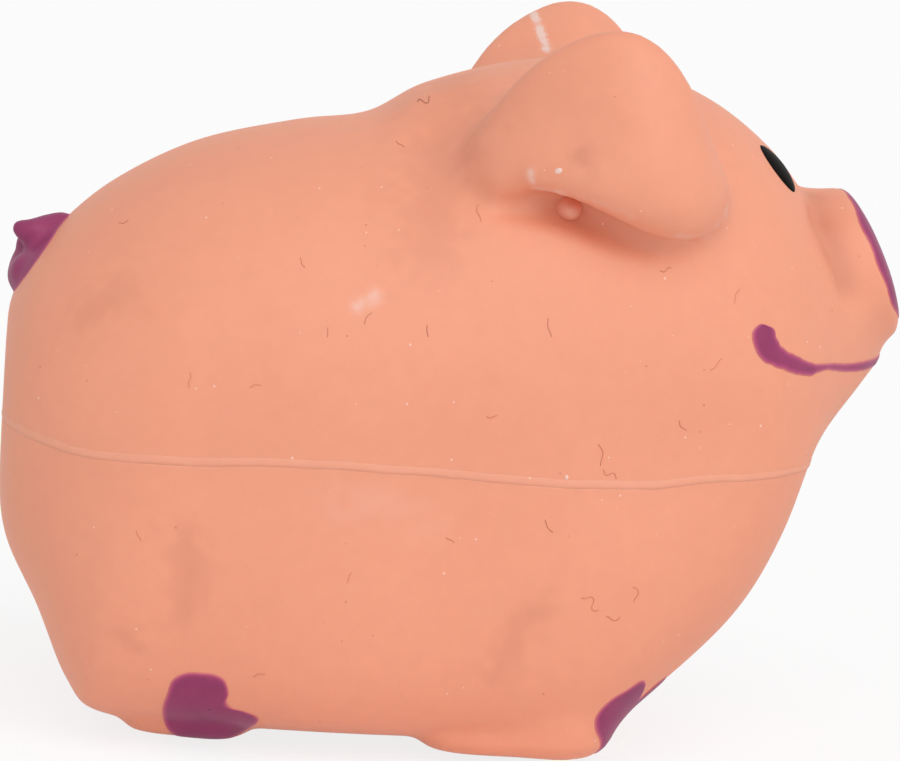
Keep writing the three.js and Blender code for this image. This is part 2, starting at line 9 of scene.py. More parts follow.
import bpy
import numpy as np
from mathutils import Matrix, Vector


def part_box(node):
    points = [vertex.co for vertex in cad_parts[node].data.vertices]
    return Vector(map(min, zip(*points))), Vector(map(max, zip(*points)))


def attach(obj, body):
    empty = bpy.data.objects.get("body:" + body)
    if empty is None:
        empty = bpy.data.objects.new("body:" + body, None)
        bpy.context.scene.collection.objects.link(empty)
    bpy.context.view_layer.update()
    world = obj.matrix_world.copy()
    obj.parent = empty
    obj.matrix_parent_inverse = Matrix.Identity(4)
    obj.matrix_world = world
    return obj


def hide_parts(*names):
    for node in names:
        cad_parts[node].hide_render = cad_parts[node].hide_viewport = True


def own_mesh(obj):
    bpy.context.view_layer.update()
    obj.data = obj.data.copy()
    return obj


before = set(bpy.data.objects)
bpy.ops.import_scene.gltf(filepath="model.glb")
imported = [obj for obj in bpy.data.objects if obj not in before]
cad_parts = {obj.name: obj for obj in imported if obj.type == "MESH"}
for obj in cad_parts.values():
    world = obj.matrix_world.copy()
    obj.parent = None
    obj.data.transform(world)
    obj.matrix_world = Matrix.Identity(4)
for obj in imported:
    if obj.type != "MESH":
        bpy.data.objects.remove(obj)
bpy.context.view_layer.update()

import openvdb
from bpy.props import FloatProperty, FloatVectorProperty, PointerProperty
from mathutils import Matrix, Vector, noise
from mathutils.bvhtree import BVHTree

bl_info = {
    "name": "Latex pig toy",
    "version": (1, 0, 0),
    "blender": (4, 5, 0),
    "location": "View3D > Sidebar > Latex pig",
    "description": "Builds the moulded skins, coloured inlays and marks of a squeaky latex pig",
    "category": "Object",
}

MM = 0.001
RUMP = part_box("lower_skin")[0][0]


def linear(hex_colour):
    """Linear red, green and blue of an sRGB hex colour."""
    shares = [int(hex_colour[i:i + 2], 16) / 255 for i in (1, 3, 5)]
    return tuple(s / 12.92 if s <= 0.04045 else ((s + 0.055) / 1.055) ** 2.4 for s in shares)


# Body sections from rump to chin: top x, top z, bottom x, bottom z, half width
BODY_SECTIONS = np.array([
    (1.0, 45.9, 1.1, 38.9, 3.4),
    (0.5, 52.2, 0.6, 30.0, 12.9),
    (2.6, 58.4, 1.9, 22.8, 20.5),
    (6.5, 63.7, 6.4, 14.9, 27.0),
    (13.5, 70.1, 10.8, 6.0, 31.9),
    (24.2, 76.0, 15.4, 2.5, 35.3),
    (37.0, 79.5, 30.0, 2.0, 37.2),
    (46.4, 81.2, 45.0, 1.9, 38.0),
    (53.8, 85.5, 58.0, 1.9, 37.6),
    (66.0, 89.2, 70.0, 2.2, 36.9),
    (78.0, 90.0, 80.3, 3.6, 35.0),
    (90.3, 86.3, 88.1, 9.3, 31.9),
    (99.3, 80.3, 97.3, 18.2, 27.7),
    (105.2, 73.4, 102.9, 27.5, 22.8),
    (110.0, 66.3, 107.4, 39.7, 16.3),
    (114.2, 59.7, 113.1, 47.8, 9.1),
    (116.3, 53.2, 116.0, 51.6, 2.7),
])
ROUND_ABOVE = 2.1
ROUND_BELOW = 5.0

# Rim of the left ear: forward, out, up, and how squarely its outer face leaves the rim
EAR_RIM = np.array([
    (55.4, 22.5, 79.6, 1.5),
    (60.0, 23.5, 86.4, 1.4),
    (66.5, 27.2, 93.1, 1.35),
    (74.2, 29.4, 96.9, 1.35),
    (80.5, 29.6, 95.2, 1.45),
    (85.5, 28.2, 89.2, 1.7),
    (89.2, 26.0, 81.0, 2.0),
    (91.3, 26.0, 75.5, 2.0),
    (88.8, 29.3, 71.4, 2.3),
    (84.0, 32.0, 70.2, 2.6),
    (77.0, 33.0, 71.8, 2.6),
    (69.8, 32.0, 74.4, 2.2),
    (60.6, 27.5, 75.4, 1.6),
])
EAR_CROWN = (79.0, 36.8, 78.5)

# Groove under the left ear: forward, out, up, radius
EAR_GROOVE = np.array([
    (63.0, 29.2, 73.2, 0.2), (66.8, 29.6, 73.3, 1.2), (70.5, 29.5, 73.3, 2.1), (74.5, 30.5, 71.9, 2.0),
    (78.5, 31.2, 70.4, 1.5), (82.5, 31.4, 69.5, 1.1), (86.5, 30.2, 69.6, 0.6), (89.0, 29.8, 70.3, 0.2),
])
EAR_ROOT = (75.0, 8.0, 84.0)

# Snout profile as radius and height along its axis, and where its nose stands
SNOUT_PROFILE = [
    (0.0, -13.0), (14.8, -13.0), (12.6, -8.0), (11.2, -4.6), (10.8, -3.2), (10.4, -2.0), (9.2, -1.2),
    (6.5, -0.6), (4.3, -0.3), (2.2, -0.1), (0.0, 0.0)]
NOSE_PLACE = (116.1, 66.35)
SNOUT_TILT = 24.0
SNOUT_OVAL = 24.0 / 21.0

# Nostril dimples: half height, half width, distance from the middle, depth
NOSTRIL = (2.6, 1.7, 4.2, 0.9)

# Shallow hollows of the flanks and behind the ears: forward and up, half length, half width,
# turn in degrees, depth
DENTS = [
    ((24.6, 25.0), 6.5, 2.0, 80, 0.35),
    ((66.2, 18.0), 6.0, 2.2, 60, 0.35),
    ((18.0, 16.0), 5.0, 1.5, 35, 0.25),
    ((55.8, 82.8), 6.5, 4.6, 53, 1.9),
    ((53.8, 76.4), 6.0, 4.8, 100, 1.6),
    ((60.8, 72.6), 5.0, 1.9, -12, 0.7),
]

# Feet: forward, half track, half length, half width, turn outwards in degrees
FEET = {"rear": (27.8, 14.6, 9.0, 13.0, 10), "front": (68.2, 16.8, 12.6, 13.2, 0)}

# Foot from the sole up: share of its half size and height, how far it is let into the floor,
# and how square it is seen from below
FOOT_PROFILE = [
    (0.0, 0.0), (0.12, 0.2), (0.5, 0.9), (0.75, 1.5), (0.9, 2.1), (1.0, 3.6), (0.97, 6.0),
    (0.7, 8.6), (0.0, 9.0)]
FOOT_SINK = 0.2
FOOT_SQUARE = 4.5

# Corners filled where forms meet: the least reach, and what is added where they run on softly
BROW_MELT = (0.8, 1.8)
EAR_MELT = (2.5, 4.0)
GROOVE_MELT = (1.0, 1.8)
HEEL_MELT = (1.0, 4.4)

# Where they soften: ramps as a start and a length, turned about where both the place and its start
# are negative; then the lip of the groove, and how often the ear's own creases are rounded
BROW_SIDE = (-10, 4)
EAR_FRONT = (72, 9)
EAR_BACK = (-66, 5)
EAR_TOP = (78, 6)
GROOVE_LIP = 1.5
FOOT_FRONT = (65, 10)
EAR_PASSES = 11

# Crease behind the snout: distance behind the nose, depth, and how far it fades forward, then the
# ramps that end it at the brow and under the chin
SNOUT_CREASE = (7.8, 1.5, 2.6)
CREASE_TOP = (-11.2, 2.5)
CREASE_CHIN = (-4, 9)

# Flanks drawn in at the seam: height, spread, depth, then the ramps that end it and the hollows
WAIST = (39, 11, 0.9)
WAIST_REAR = (12, 15)
WAIST_CHEST = (-98, 15)
WAIST_SIDE = (16, 8)
DENT_SIDE = (8, 8)

# Seam height along the body
SEAM_LINE = np.array([
    (0.0, 40.2), (5.0, 39.1), (12.0, 38.6), (26.0, 38.8), (38.0, 39.6), (51.0, 39.6),
    (66.0, 38.9), (83.0, 38.8), (92.0, 39.7), (110.0, 40.4),
])

# Camera: aimed at a point ahead of the rump and up, how far back, its turns round, up and over,
# its lens and sensor, and the pixels that its view is let down by in a picture of that width
CAMERA_AIM = (59.38 * MM, 48 * MM)
CAMERA_BACK = 0.6
CAMERA_TURN = (-5, 8, 4)
LENS = 180
SENSOR = 36
PHOTO_WIDTH = 900
VIEW_DROP = 14.5

# Floor's half width in metres, and the soft key light's strength, spread and direction
FLOOR_REACH = 4.0
KEY_STRENGTH = 1.27
KEY_SPREAD = 50
KEY_WAY = (0.32, -0.75, 0.95)

# Room light: the way to its dim side, and its strength from the bright side to the dim one
DIM_WAY = (-0.1, 0.6, 0.8)
ROOM_STRENGTH = (0.89, 0.42)

# Seam bead across its line: out from the skin, up from the cut
SEAM_SHAPE = [
    (-0.5, 1.1), (0.0, 0.72), (0.04, 0.45), (0.075, 0.22), (0.08, 0.02), (0.06, -0.14),
    (0.0, -0.4), (-0.5, -0.7)]
# Painted shade on the rings along the bead's lower edge
SEAM_SHADE = [0, 0, 0, 0, 0, 0.04, 0.08, 0.08]

# Seam bead's route: points round it, and the middle and distance that it is thrown on to the skin from
SEAM_STEPS = 640
SEAM_MIDDLE = (55.0, 0, 0)
SEAM_THROW = 90

# Travel of the upper half when squeezed, and the height that gives way below it
TRAVEL = 12.0
GIVES = 39.2

# Hooves: outline from the side as along and up, and how far round to the front they are thrown from
HOOVES = {
    "rear": ([
        (23.0, 6.1), (23.4, 8.7), (24.0, 10.9), (25.6, 12.0), (27.4, 12.2), (29.4, 12.1),
        (30.7, 11.3), (31.3, 9.6), (31.2, 8.2), (32.0, 7.2), (33.6, 6.8), (35.5, 5.7),
        (34.9, 3.7), (33.2, 2.0), (31.0, 1.1), (28.3, 0.9), (25.5, 1.2), (23.7, 3.0)], 0.0),
    "front": ([
        (27.5, 8.0), (28.1, 6.0), (29.6, 4.3), (31.2, 2.1), (34.0, 1.6), (37.0, 2.2),
        (39.6, 4.4), (40.8, 7.4), (40.6, 10.6), (39.4, 12.2), (37.8, 12.0), (36.4, 10.6),
        (35.2, 9.9), (34.2, 11.0), (33.1, 12.4), (31.6, 12.9), (30.0, 11.8), (28.3, 10.4)], 50.0),
}
HOOF_THROW = 130.0

# Width of the pinkish edge of purple latex, and how deep the inlays go into the skin
RIM_WIDTH = 1.0
INLAY_DEPTH = 0.9
MOUTH_DEPTH = 0.6
DAB_DEPTH = 0.8

# Nose pad: half angle that it spans, seen from a point behind the nose
NOSE_SPREAD = 47.5
NOSE_FOCUS = 12
NOSE_THROW = 40

# Mouth from the corner to the middle: degrees round the chin, height, width
MOUTH_LINE = np.array([
    (72.2, 59.6, 0.6), (72.3, 59.3, 2.4), (72.3, 58.7, 3.6), (72.2, 57.9, 4.0), (71.4, 56.9, 3.9),
    (69.3, 55.9, 3.4), (65.8, 55.0, 2.8), (59.7, 54.0, 2.4), (55.0, 53.5, 2.0), (51.8, 53.5, 1.5),
    (47.5, 53.5, 1.2), (43.6, 53.4, 1.2), (32.0, 52.8, 1.4), (19.0, 52.6, 1.7), (0.0, 52.6, 1.8),
])
MOUTH_MIDDLE = 88.0
MOUTH_SWEEP = 28.5
MOUTH_THROW = 60

# Right eye's place turned to the left side, the way its long side leans, its two sizes and its height
EYE_PLACE = np.array((99.8, 9.5, 78.0))
EYE_LEAN = np.array((4.0, 4.3, -5.4))
EYE_LONG = 8.0
EYE_WIDE = 5.2
EYE_HIGH = 0.6

# Tail: height of its base, half height, half width and bulge of it, the curl as places and radius,
# then the room that its grid fills, the grid's spacing and the corner filled between base and curl
TAIL_BASE = (59.3, 4.5, 7.4, 1.2)
TAIL_CURL = np.array([
    (1.5, -0.9, 63.1, 1.1), (2.3, -0.9, 62.8, 1.5), (3.6, -0.7, 62.6, 2.0), (5.4, 0.6, 63.2, 1.9),
    (6.8, 1.6, 63.7, 1.5), (3.2, 1.8, 61.2, 1.9), (2.7, 2.5, 59.8, 1.7), (2.2, 2.0, 58.0, 1.8),
    (2.1, -0.2, 57.0, 1.8), (2.4, -2.3, 57.8, 1.7),
])
TAIL_LOW = np.array([-4.5, -12.0, 50.4])
TAIL_HIGH = np.array([13.5, 12.0, 70.2])
TAIL_VOXEL = 0.3
TAIL_MELT = 1.6

# Squeaker room in the lower stuffing: forward, radius, height
SQUEAKER = (48.0, 11.0, 39.5)

# Dark marks on the right side: dirt smudges on the rump and by the ear, painted shade in the creases by the
# legs, and a broad darker patch on the neck behind the ear: lines as forward and up, half width, strength
SMUDGES_AND_SHADE = [
    ([(14.1, 57.7), (14.6, 58.9), (11.0, 55.5), (9.8, 54.7)], 1.9, 0.13),
    # Painted shade in the creases by the rear leg
    ([(24.4, 28.9), (25.2, 24.5), (25.0, 21.0)], 2.2, 0.16),
    ([(17.0, 16.6), (19.6, 14.6)], 1.2, 0.13),
    # Painted shade in the crease behind the front leg
    ([(69.7, 22.7), (67.3, 21.3), (66.4, 17.3), (65.3, 14.5)], 2.2, 0.16),
    ([(70.8, 80.4), (71.3, 79.5)], 1.4, 0.25),
    # A broad darker patch on the neck behind the ear
    ([(57.0, 85.6), (54.4, 80.0), (53.4, 74.0), (53.2, 67.0)], 3.6, 0.14),
]

# Painted shade in the hollows of both sides, in the groove under the ears and the crease behind the snout:
# lines, half width, strength
HOLLOW_SHADE = [
    ([(67.0, 29.0, 73.0), (72.0, 28.8, 72.4), (78.0, 29.6, 70.4), (81.0, 30.2, 69.8)], 1.9, 0.12),
    ([(105.6, 4.5, 73.6), (106.2, 7.9, 71.9), (107.0, 10.6, 69.7), (107.9, 12.4, 67.3),
      (108.9, 13.5, 64.1)], 2.3, 0.36),
]

# Pale scuffs: lines on the skin, half width, strength
SCUFFS = [
    ([(65.0, -31.9, 77.8), (65.2, -31.8, 76.6), (65.8, -31.0, 75.6), (67.4, -32.0, 75.3),
      (69.0, -33.0, 75.3)], 0.5, 0.75),
    ([(69.0, -33.0, 75.5), (72.5, -34.7, 75.0), (77.6, -35.3, 73.4)], 0.6, 0.22),
    ([(84.0, -33.6, 71.1), (87.1, -31.9, 71.0), (89.1, -30.3, 72.1), (90.6, -28.5, 74.2)], 0.7, 0.5),
    ([(69.9, 26.9, 94.0), (70.2, 25.3, 93.1), (70.8, 21.7, 91.0), (71.3, 18.2, 89.3)], 0.4, 4.0),
    ([(44.3, -33.9, 59.7), (45.6, -33.8, 60.3), (46.5, -33.6, 61.0)], 0.9, 0.6),
    ([(42.2, -37.9, 35.4), (48.5, -38.0, 34.9), (54.9, -37.7, 33.9)], 2.6, 0.14),
]

# Vent nub under the right ear: place, the way it points, and its profile as radius and height
NUB_PLACE = (70.7, 72.9)
NUB_WAY = (0.05, -1, -0.1)
NUB_PROFILE = [
    (0.0, -1.5), (1.8, -1.5), (1.65, 0.1), (1.45, 0.8), (1.15, 1.5), (0.75, 2.05), (0.35, 2.3), (0.0, 2.35)]

# Pale chips: place, lean, then long, wide and high
CHIPS = {
    "ear_chip": ((68.1, -34.1, 78.2), (1.0, 0.0, 0.4), (1.1, 0.8, 0.12)),
    "seam_chip": ((72.1, -36.4, 39.7), (0.2, 0.0, 1.0), (0.7, 0.5, 0.2)),
}

# Lint: radius of a hair, its height above the skin and the points along it, and how far away it is
# thrown from; then the hairs of the right side as forward, up, turn, length, bend, and how pale
HAIR = 0.038
HAIR_LIFT = 0.05
HAIR_STEPS = 10
SIDE_THROW = 60
LINT = {
    "upper": [
        (52.0, 83.3, 25, 2.4, 1.1, 0.1), (45.2, 57.4, 60, 1.8, 0.4, 0.5), (53.3, 56.4, 100, 1.5, 0.2, 0.3),
        (75.6, 44.4, -78, 3.0, 0.5, 0.5), (76.4, 41.0, -20, 2.8, 1.0, 0.6), (89.6, 53.6, 48, 2.2, 0.3, 0.7),
        (59.2, 73.0, -85, 2.2, 0.6, 0.7), (82.2, 66.0, 20, 1.8, 0.8, 0.6), (68.2, 60.0, -78, 2.4, 0.3, 0.5),
        (36.8, 65.0, -60, 1.4, 0.5, 0.6), (23.9, 50.4, -95, 2.0, 0.4, 0.7), (31.2, 49.0, 15, 1.6, 0.6, 0.8),
        (14.0, 66.4, 20, 1.3, 0.4, 0.5), (92.4, 62.0, 70, 2.0, 0.4, 0.8), (49.0, 79.0, -30, 1.2, 0.4, 0.6),
        (40.6, 55.6, 80, 1.2, 0.3, 0.6), (61.0, 47.0, 10, 1.5, 0.5, 0.7), (86.0, 47.5, -50, 1.8, 0.5, 0.6),
    ],
    "lower": [
        (74.8, 24.8, -45, 4.2, 1.2, 0.6), (78.2, 22.0, 10, 2.2, 0.9, 0.5), (81.4, 26.0, -75, 2.6, 0.9, 0.6),
        (69.4, 34.4, -50, 2.0, 0.4, 0.4), (45.0, 25.0, 60, 1.4, 0.4, 0.7), (34.0, 12.0, 20, 1.6, 0.5, 0.6),
        (18.4, 30.0, -70, 1.5, 0.4, 0.7), (57.0, 31.5, -35, 1.3, 0.3, 0.5),
    ],
}


class PigSizes(bpy.types.PropertyGroup):
    """Sizes of the pieces that the scene adds to the solids."""

    voxel: FloatProperty(
        name="Skin detail", description="Spacing of the grid that the skin is drawn from",
        default=0.6 * MM, min=0.3 * MM, unit="LENGTH")
    wall: FloatProperty(
        name="Wall", description="Thickness of the moulded latex", default=2.6 * MM, unit="LENGTH")
    # Paler seam bead: a pale flash, partly a painted highlight
    seam_pale_and_highlight: FloatProperty(
        name="Seam paleness", description="How much paler the seam bead is than the skin",
        default=0.03, min=0, max=1, subtype="FACTOR")


class PigColours(bpy.types.PropertyGroup):
    """Colours of the pieces."""

    coral: FloatVectorProperty(
        name="Coral latex", description="Main colour of the skin", subtype="COLOR",
        default=linear("#ef9f80"), min=0, max=1)
    purple: FloatVectorProperty(
        name="Purple latex", description="Nose, mouth, tail and hooves", subtype="COLOR",
        default=linear("#923864"), min=0, max=1)


def sizes():
    return bpy.context.scene.pig_sizes


def colours():
    return bpy.context.scene.pig_colours


# Forms

def curve_through(points, count):
    """Points along a smooth curve through the given ones."""
    points = np.asarray(points, float)
    held = np.vstack([2 * points[0] - points[1], points, 2 * points[-1] - points[-2]])
    share = np.linspace(0, len(points) - 1, count)
    start = np.minimum(share.astype(int), len(points) - 2)
    t = (share - start)[:, None]
    a, b, c, d = (held[start + k] for k in range(4))
    return 0.5 * (2 * b + (c - a) * t + (2 * a - 5 * b + 4 * c - d) * t**2 + (3 * b - 3 * c + d - a) * t**3)


def ramp(value, start, length):
    """From 0 at the start to 1 a length further on."""
    return np.clip((value - start) / length, 0, 1)


def squared(value, power):
    return np.sign(value) * np.abs(value) ** (2 / power)


def lofted(sections):
    """Points, quads and end triangles of a closed form through rings of points."""
    count, around = sections.shape[:2]
    index = np.arange(count * around).reshape(count, around)
    beside = np.roll(index, -1, axis=1)
    quads = np.stack([index[:-1], beside[:-1], beside[1:], index[1:]], axis=-1).reshape(-1, 4)
    middle = np.full(around, count * around)
    ends = np.vstack([
        np.stack([middle, beside[0], index[0]], axis=-1),
        np.stack([middle + 1, index[-1], beside[-1]], axis=-1),
    ])
    points = np.vstack([sections.reshape(-1, 3), sections[[0, -1]].mean(axis=1)])
    return points, quads, ends


def body_form():
    """Rounded sections strung along the top and bottom outlines, boxier below where they are broad."""
    line = curve_through(BODY_SECTIONS, 200)
    top_x, top_z, low_x, low_z, half = (line[:, [i]] for i in range(5))
    turn = np.linspace(0, 2 * np.pi, 160, endpoint=False)[None, :]
    broad = (half / half.max()) ** 2
    below = ROUND_ABOVE + (ROUND_BELOW - ROUND_ABOVE) * broad
    power = np.where(np.sin(turn) > 0, ROUND_ABOVE, below)
    lift = (1 + squared(np.sin(turn), power)) / 2
    x = low_x + (top_x - low_x) * lift
    z = low_z + (top_z - low_z) * lift
    y = half * squared(np.cos(turn), power)
    return lofted(np.stack([x, y, z], axis=-1))


def turned_form(profile, around=72):
    """A profile of radius and height turned about z."""
    profile = np.array(profile, float)
    turn = np.linspace(0, 2 * np.pi, around, endpoint=False)
    radius = np.maximum(profile[:, :1], 0.01)
    return lofted(np.stack([
        radius * np.cos(turn), radius * np.sin(turn), np.repeat(profile[:, 1:], around, axis=1),
    ], axis=-1))


def snout_axes():
    """Snout's own directions in columns: down its face, to the pig's left, and out along its axis."""
    lean = math.radians(90 - SNOUT_TILT)
    return np.array([
        (math.cos(lean), 0, math.sin(lean)),
        (0, 1, 0),
        (-math.sin(lean), 0, math.cos(lean)),
    ])


def onto_snout(points):
    """Points of a form turned about z, made oval and set on the snout's tilted axis."""
    return points * (1, SNOUT_OVAL, 1) @ snout_axes().T + (NOSE_PLACE[0], 0, NOSE_PLACE[1])


def ear_form():
    """The pig's left ear: a hood that domes out from its rim and runs back into the head."""
    rim = ring_of(EAR_RIM, 104)
    edge, square = rim[:, :3], rim[:, 3]
    root = [edge + (np.array(EAR_ROOT) - edge) * share for share in np.linspace(0.8, 0.08, 10)]
    dome = []
    for share in np.cos(np.linspace(0, 0.485 * np.pi, 24)):
        ring = np.array(EAR_CROWN) + (edge - EAR_CROWN) * share
        ring[:, 1] = edge[:, 1] + (EAR_CROWN[1] - edge[:, 1]) * (1 - share**square) ** (1 / square)
        dome.append(ring)
    return lofted(np.array(root + dome))


def foot_form(place):
    """The pig's left foot: a low stub, a rounded square seen from below."""
    along, track, length, width, turn = FEET[place]
    points, quads, ends = turned_form(FOOT_PROFILE)
    ways = np.abs(points[:, :2]) / np.maximum(np.linalg.norm(points[:, :2], axis=1, keepdims=True), 1e-6)
    corners = np.maximum((ways**FOOT_SQUARE).sum(axis=1, keepdims=True), 0.1) ** (1 / FOOT_SQUARE)
    points = np.hstack([points[:, :2] / corners, points[:, 2:]])
    outward = np.array(Matrix.Rotation(math.radians(turn), 3, "Z"))
    points = points * (length, width, 1) @ outward.T + (along, track, -FOOT_SINK)
    return points, quads, ends


# Distance fields

BAND = 10.0
FIELD_LOW = np.array([-6.0, -43.2, -3.0])
FIELD_HIGH = np.array([124.2, 43.2, 100.2])


class Field:
    """A grid of distances to a form, in millimetres."""

    def __init__(self, low, high, voxel):
        self.voxel = voxel
        self.first = np.round(low / voxel).astype(int)
        self.shape = tuple(np.round(high / voxel).astype(int) - self.first + 1)

    def axes(self):
        return np.ogrid[tuple(
            slice(start * self.voxel, (start + count - 0.5) * self.voxel, self.voxel)
            for start, count in zip(self.first, self.shape)
        )]

    def distance(self, form):
        points, quads, ends = form
        grid = openvdb.FloatGrid.createLevelSetFromPolygons(
            points.astype(np.float32), triangles=ends.astype(np.uint32), quads=quads.astype(np.uint32),
            transform=openvdb.createLinearTransform(voxelSize=self.voxel), halfWidth=BAND / self.voxel)
        values = np.empty(self.shape, np.float32)
        grid.copyToArray(values, ijk=tuple(int(i) for i in self.first))
        return values

    def surface(self, values):
        """Points and quads where the field is zero."""
        grid = openvdb.FloatGrid(BAND)
        grid.transform = openvdb.createLinearTransform(voxelSize=self.voxel)
        grid.copyFromArray(values.astype(np.float32), ijk=tuple(int(i) for i in self.first))
        return grid.convertToQuads(0)


def melted(one, other, reach):
    """Union of two fields, the corner between them filled over a reach."""
    share = np.clip(0.5 + 0.5 * (other - one) / reach, 0, 1)
    return other + (one - other) * share - reach * share * (1 - share)


def softened(values, passes):
    """A field with its creases rounded off."""
    for axis in [0, 1, 2] * passes:
        values = np.moveaxis(values.copy(), axis, 0)
        values[1:-1] = (values[:-2] + 2 * values[1:-1] + values[2:]) / 4
        values = np.moveaxis(values, 0, axis)
    return values


def dent(x, z, place, length, width, turn, depth):
    """Depth of a soft dent seen from the side."""
    turn = math.radians(turn)
    along = (x - place[0]) * math.cos(turn) + (z - place[1]) * math.sin(turn)
    across = (z - place[1]) * math.cos(turn) - (x - place[0]) * math.sin(turn)
    return depth * np.exp(-(along / length) ** 2 - (across / width) ** 2)


def skin_surface():
    """Outer surface of the whole moulding."""
    field = Field(FIELD_LOW, FIELD_HIGH, sizes().voxel / MM)
    x, y, z = field.axes()
    skin = field.distance(body_form())
    points, quads, ends = turned_form(SNOUT_PROFILE)
    axes = snout_axes()
    down, out = ((x - NOSE_PLACE[0]) * axes[0, i] + (z - NOSE_PLACE[1]) * axes[2, i] for i in (0, 2))
    brow = BROW_MELT[0] + BROW_MELT[1] * ramp(down, *BROW_SIDE)
    skin = melted(skin, field.distance((onto_snout(points), quads, ends)), brow)
    # The crease behind the snout is sharp at its rear and fades forward and under the chin
    behind, depth, fade = SNOUT_CREASE
    beside = ramp(down, *CREASE_TOP) * ramp(-down, *CREASE_CHIN)
    root = out + behind
    skin = skin + depth * np.where(root < 0, np.exp(-root**2), np.exp(-np.maximum(root, 0) / fade)) * beside
    nostril = np.hypot((down + 0.6) / NOSTRIL[0], (np.abs(y) - NOSTRIL[2]) / NOSTRIL[1])
    skin = skin + NOSTRIL[3] * np.clip(1.2 - nostril, 0, 1) * (out > -4)
    ear = softened(field.distance(ear_form()), EAR_PASSES)
    # The hollow under the ear stays sharp, its front and back run into the head
    sides = np.maximum(ramp(x, *EAR_FRONT), ramp(-x, *EAR_BACK))
    reach = EAR_MELT[0] + EAR_MELT[1] * np.maximum(ramp(z, *EAR_TOP), sides)
    skin = melted(skin, ear, reach)
    skin = melted(skin, ear[:, ::-1], reach)
    groove = np.full(field.shape, BAND)
    for a, b, c, thick in curve_through(EAR_GROOVE, 26):
        groove = np.minimum(groove, np.sqrt((x - a) ** 2 + (np.abs(y) - b) ** 2 + (z - c) ** 2) - thick)
    below = ramp(np.interp(x, EAR_GROOVE[:, 0], EAR_GROOVE[:, 2]), z, GROOVE_LIP)
    skin = -melted(-skin, groove, GROOVE_MELT[0] + GROOVE_MELT[1] * below)
    # The heels are stepped, and the front feet run on into the chest
    heel = HEEL_MELT[0] + HEEL_MELT[1] * ramp(x, *FOOT_FRONT)
    for place in FEET:
        foot = field.distance(foot_form(place))
        skin = melted(skin, foot, heel)
        skin = melted(skin, foot[:, ::-1], heel)
    for mark in DENTS:
        skin = skin + dent(x, z, *mark) * ramp(np.abs(y), *DENT_SIDE)
    # The halves draw in a little where they meet along the flanks
    height, spread, depth = WAIST
    flank = ramp(x, *WAIST_REAR) * ramp(-x, *WAIST_CHEST) * ramp(np.abs(y), *WAIST_SIDE)
    skin = skin + depth * np.exp(-((z - height) / spread) ** 2) * flank
    skin = np.maximum(skin, -z)
    return field.surface(skin)


# Meshes

def relaxed(points, quads, passes):
    """Points drawn towards the middle of their neighbours, which takes out the grid's steps."""
    pairs = np.vstack([quads[:, [i, (i + 1) % 4]] for i in range(4)])
    pairs = np.vstack([pairs, pairs[:, ::-1]])
    count = np.bincount(pairs[:, 0], minlength=len(points))
    for _ in range(passes):
        middle = np.stack([
            np.bincount(pairs[:, 0], points[pairs[:, 1], axis], len(points)) / count for axis in range(3)
        ], axis=-1)
        points = points + 0.5 * (middle - points)
    return points


@functools.lru_cache(maxsize=1)
def moulding():
    """Points and quads of the whole skin, and a tree to find places on it."""
    points, quads = skin_surface()
    quads = quads.astype(int)
    points = relaxed(points.astype(float), quads, 4)
    return points, quads, BVHTree.FromPolygons(points.tolist(), quads.tolist())


def cast(starts, ways):
    """Points and normals where rays meet the skin."""
    tree = moulding()[2]
    places, normals = [], []
    for start, way in zip(starts, ways):
        place, normal, _, _ = tree.ray_cast(Vector(start), Vector(way).normalized())
        if place is None:
            raise RuntimeError(f"no skin under {tuple(start)}")
        places.append(place)
        normals.append(normal)
    return np.array(places), np.array(normals)


def to_frame(points):
    return (np.asarray(points, float) + (RUMP / MM, 0, 0)) * MM


def new_piece(name, points, faces, material, body, slot, nodes=(), **shades):
    """A smooth mesh in the tables' millimetres that rides on a body, with shades at its points."""
    mesh = bpy.data.meshes.new(name)
    mesh.from_pydata(to_frame(points).tolist(), [], [[int(i) for i in face] for face in faces])
    mesh.shade_smooth()
    mesh.materials.append(material)
    for shade, values in shades.items():
        mesh.attributes.new(shade, "FLOAT", "POINT").data.foreach_set("value", np.asarray(values, np.float32))
    piece = bpy.data.objects.new(name, mesh)
    bpy.context.collection.objects.link(piece)
    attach(piece, body)
    if nodes:
        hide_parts(*nodes)
    if body == "lower_body":
        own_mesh(piece)
    return piece


def seam_height(x):
    line = curve_through(SEAM_LINE, 80)
    return np.interp(x, line[:, 0], line[:, 1])


def half_skin(upper):
    """Points and quads of one moulded half, its lip turned in along the seam."""
    points, quads, tree = moulding()
    side = 1 if upper else -1
    above = side * (points[:, 2] - seam_height(points[:, 0]))
    quads = quads[(above[quads] > 0).any(axis=1)]
    used, quads = np.unique(quads, return_inverse=True)
    quads = quads.reshape(-1, 4)
    points = points[used].copy()
    # Where the seam dips, the lower lip stays clear of the upper one when squeezed
    low = TRAVEL * np.maximum(1 - seam_height(points[:, 0]) / GIVES, 0)
    points[:, 2] += side * np.maximum((0.05 if upper else 0.08 + low) - above[used], 0)
    edges = np.vstack([quads[:, [i, (i + 1) % 4]] for i in range(4)])
    facing = {tuple(edge) for edge in edges[:, ::-1]}
    lip = np.array([edge for edge in edges if tuple(edge) not in facing])
    lip = lip[above[used][lip].max(axis=1) < 1]
    outer, place = np.unique(lip, return_inverse=True)
    place = place.reshape(-1, 2) + len(points)
    inward = np.array([tree.find_nearest(Vector(p))[1] for p in points[outer]]) * (1, 1, 0)
    points = np.vstack([points, points[outer] - inward * sizes().wall / MM])
    quads = np.vstack([quads, np.column_stack([lip[:, 1], lip[:, 0], place[:, 0], place[:, 1]])])
    return points, quads


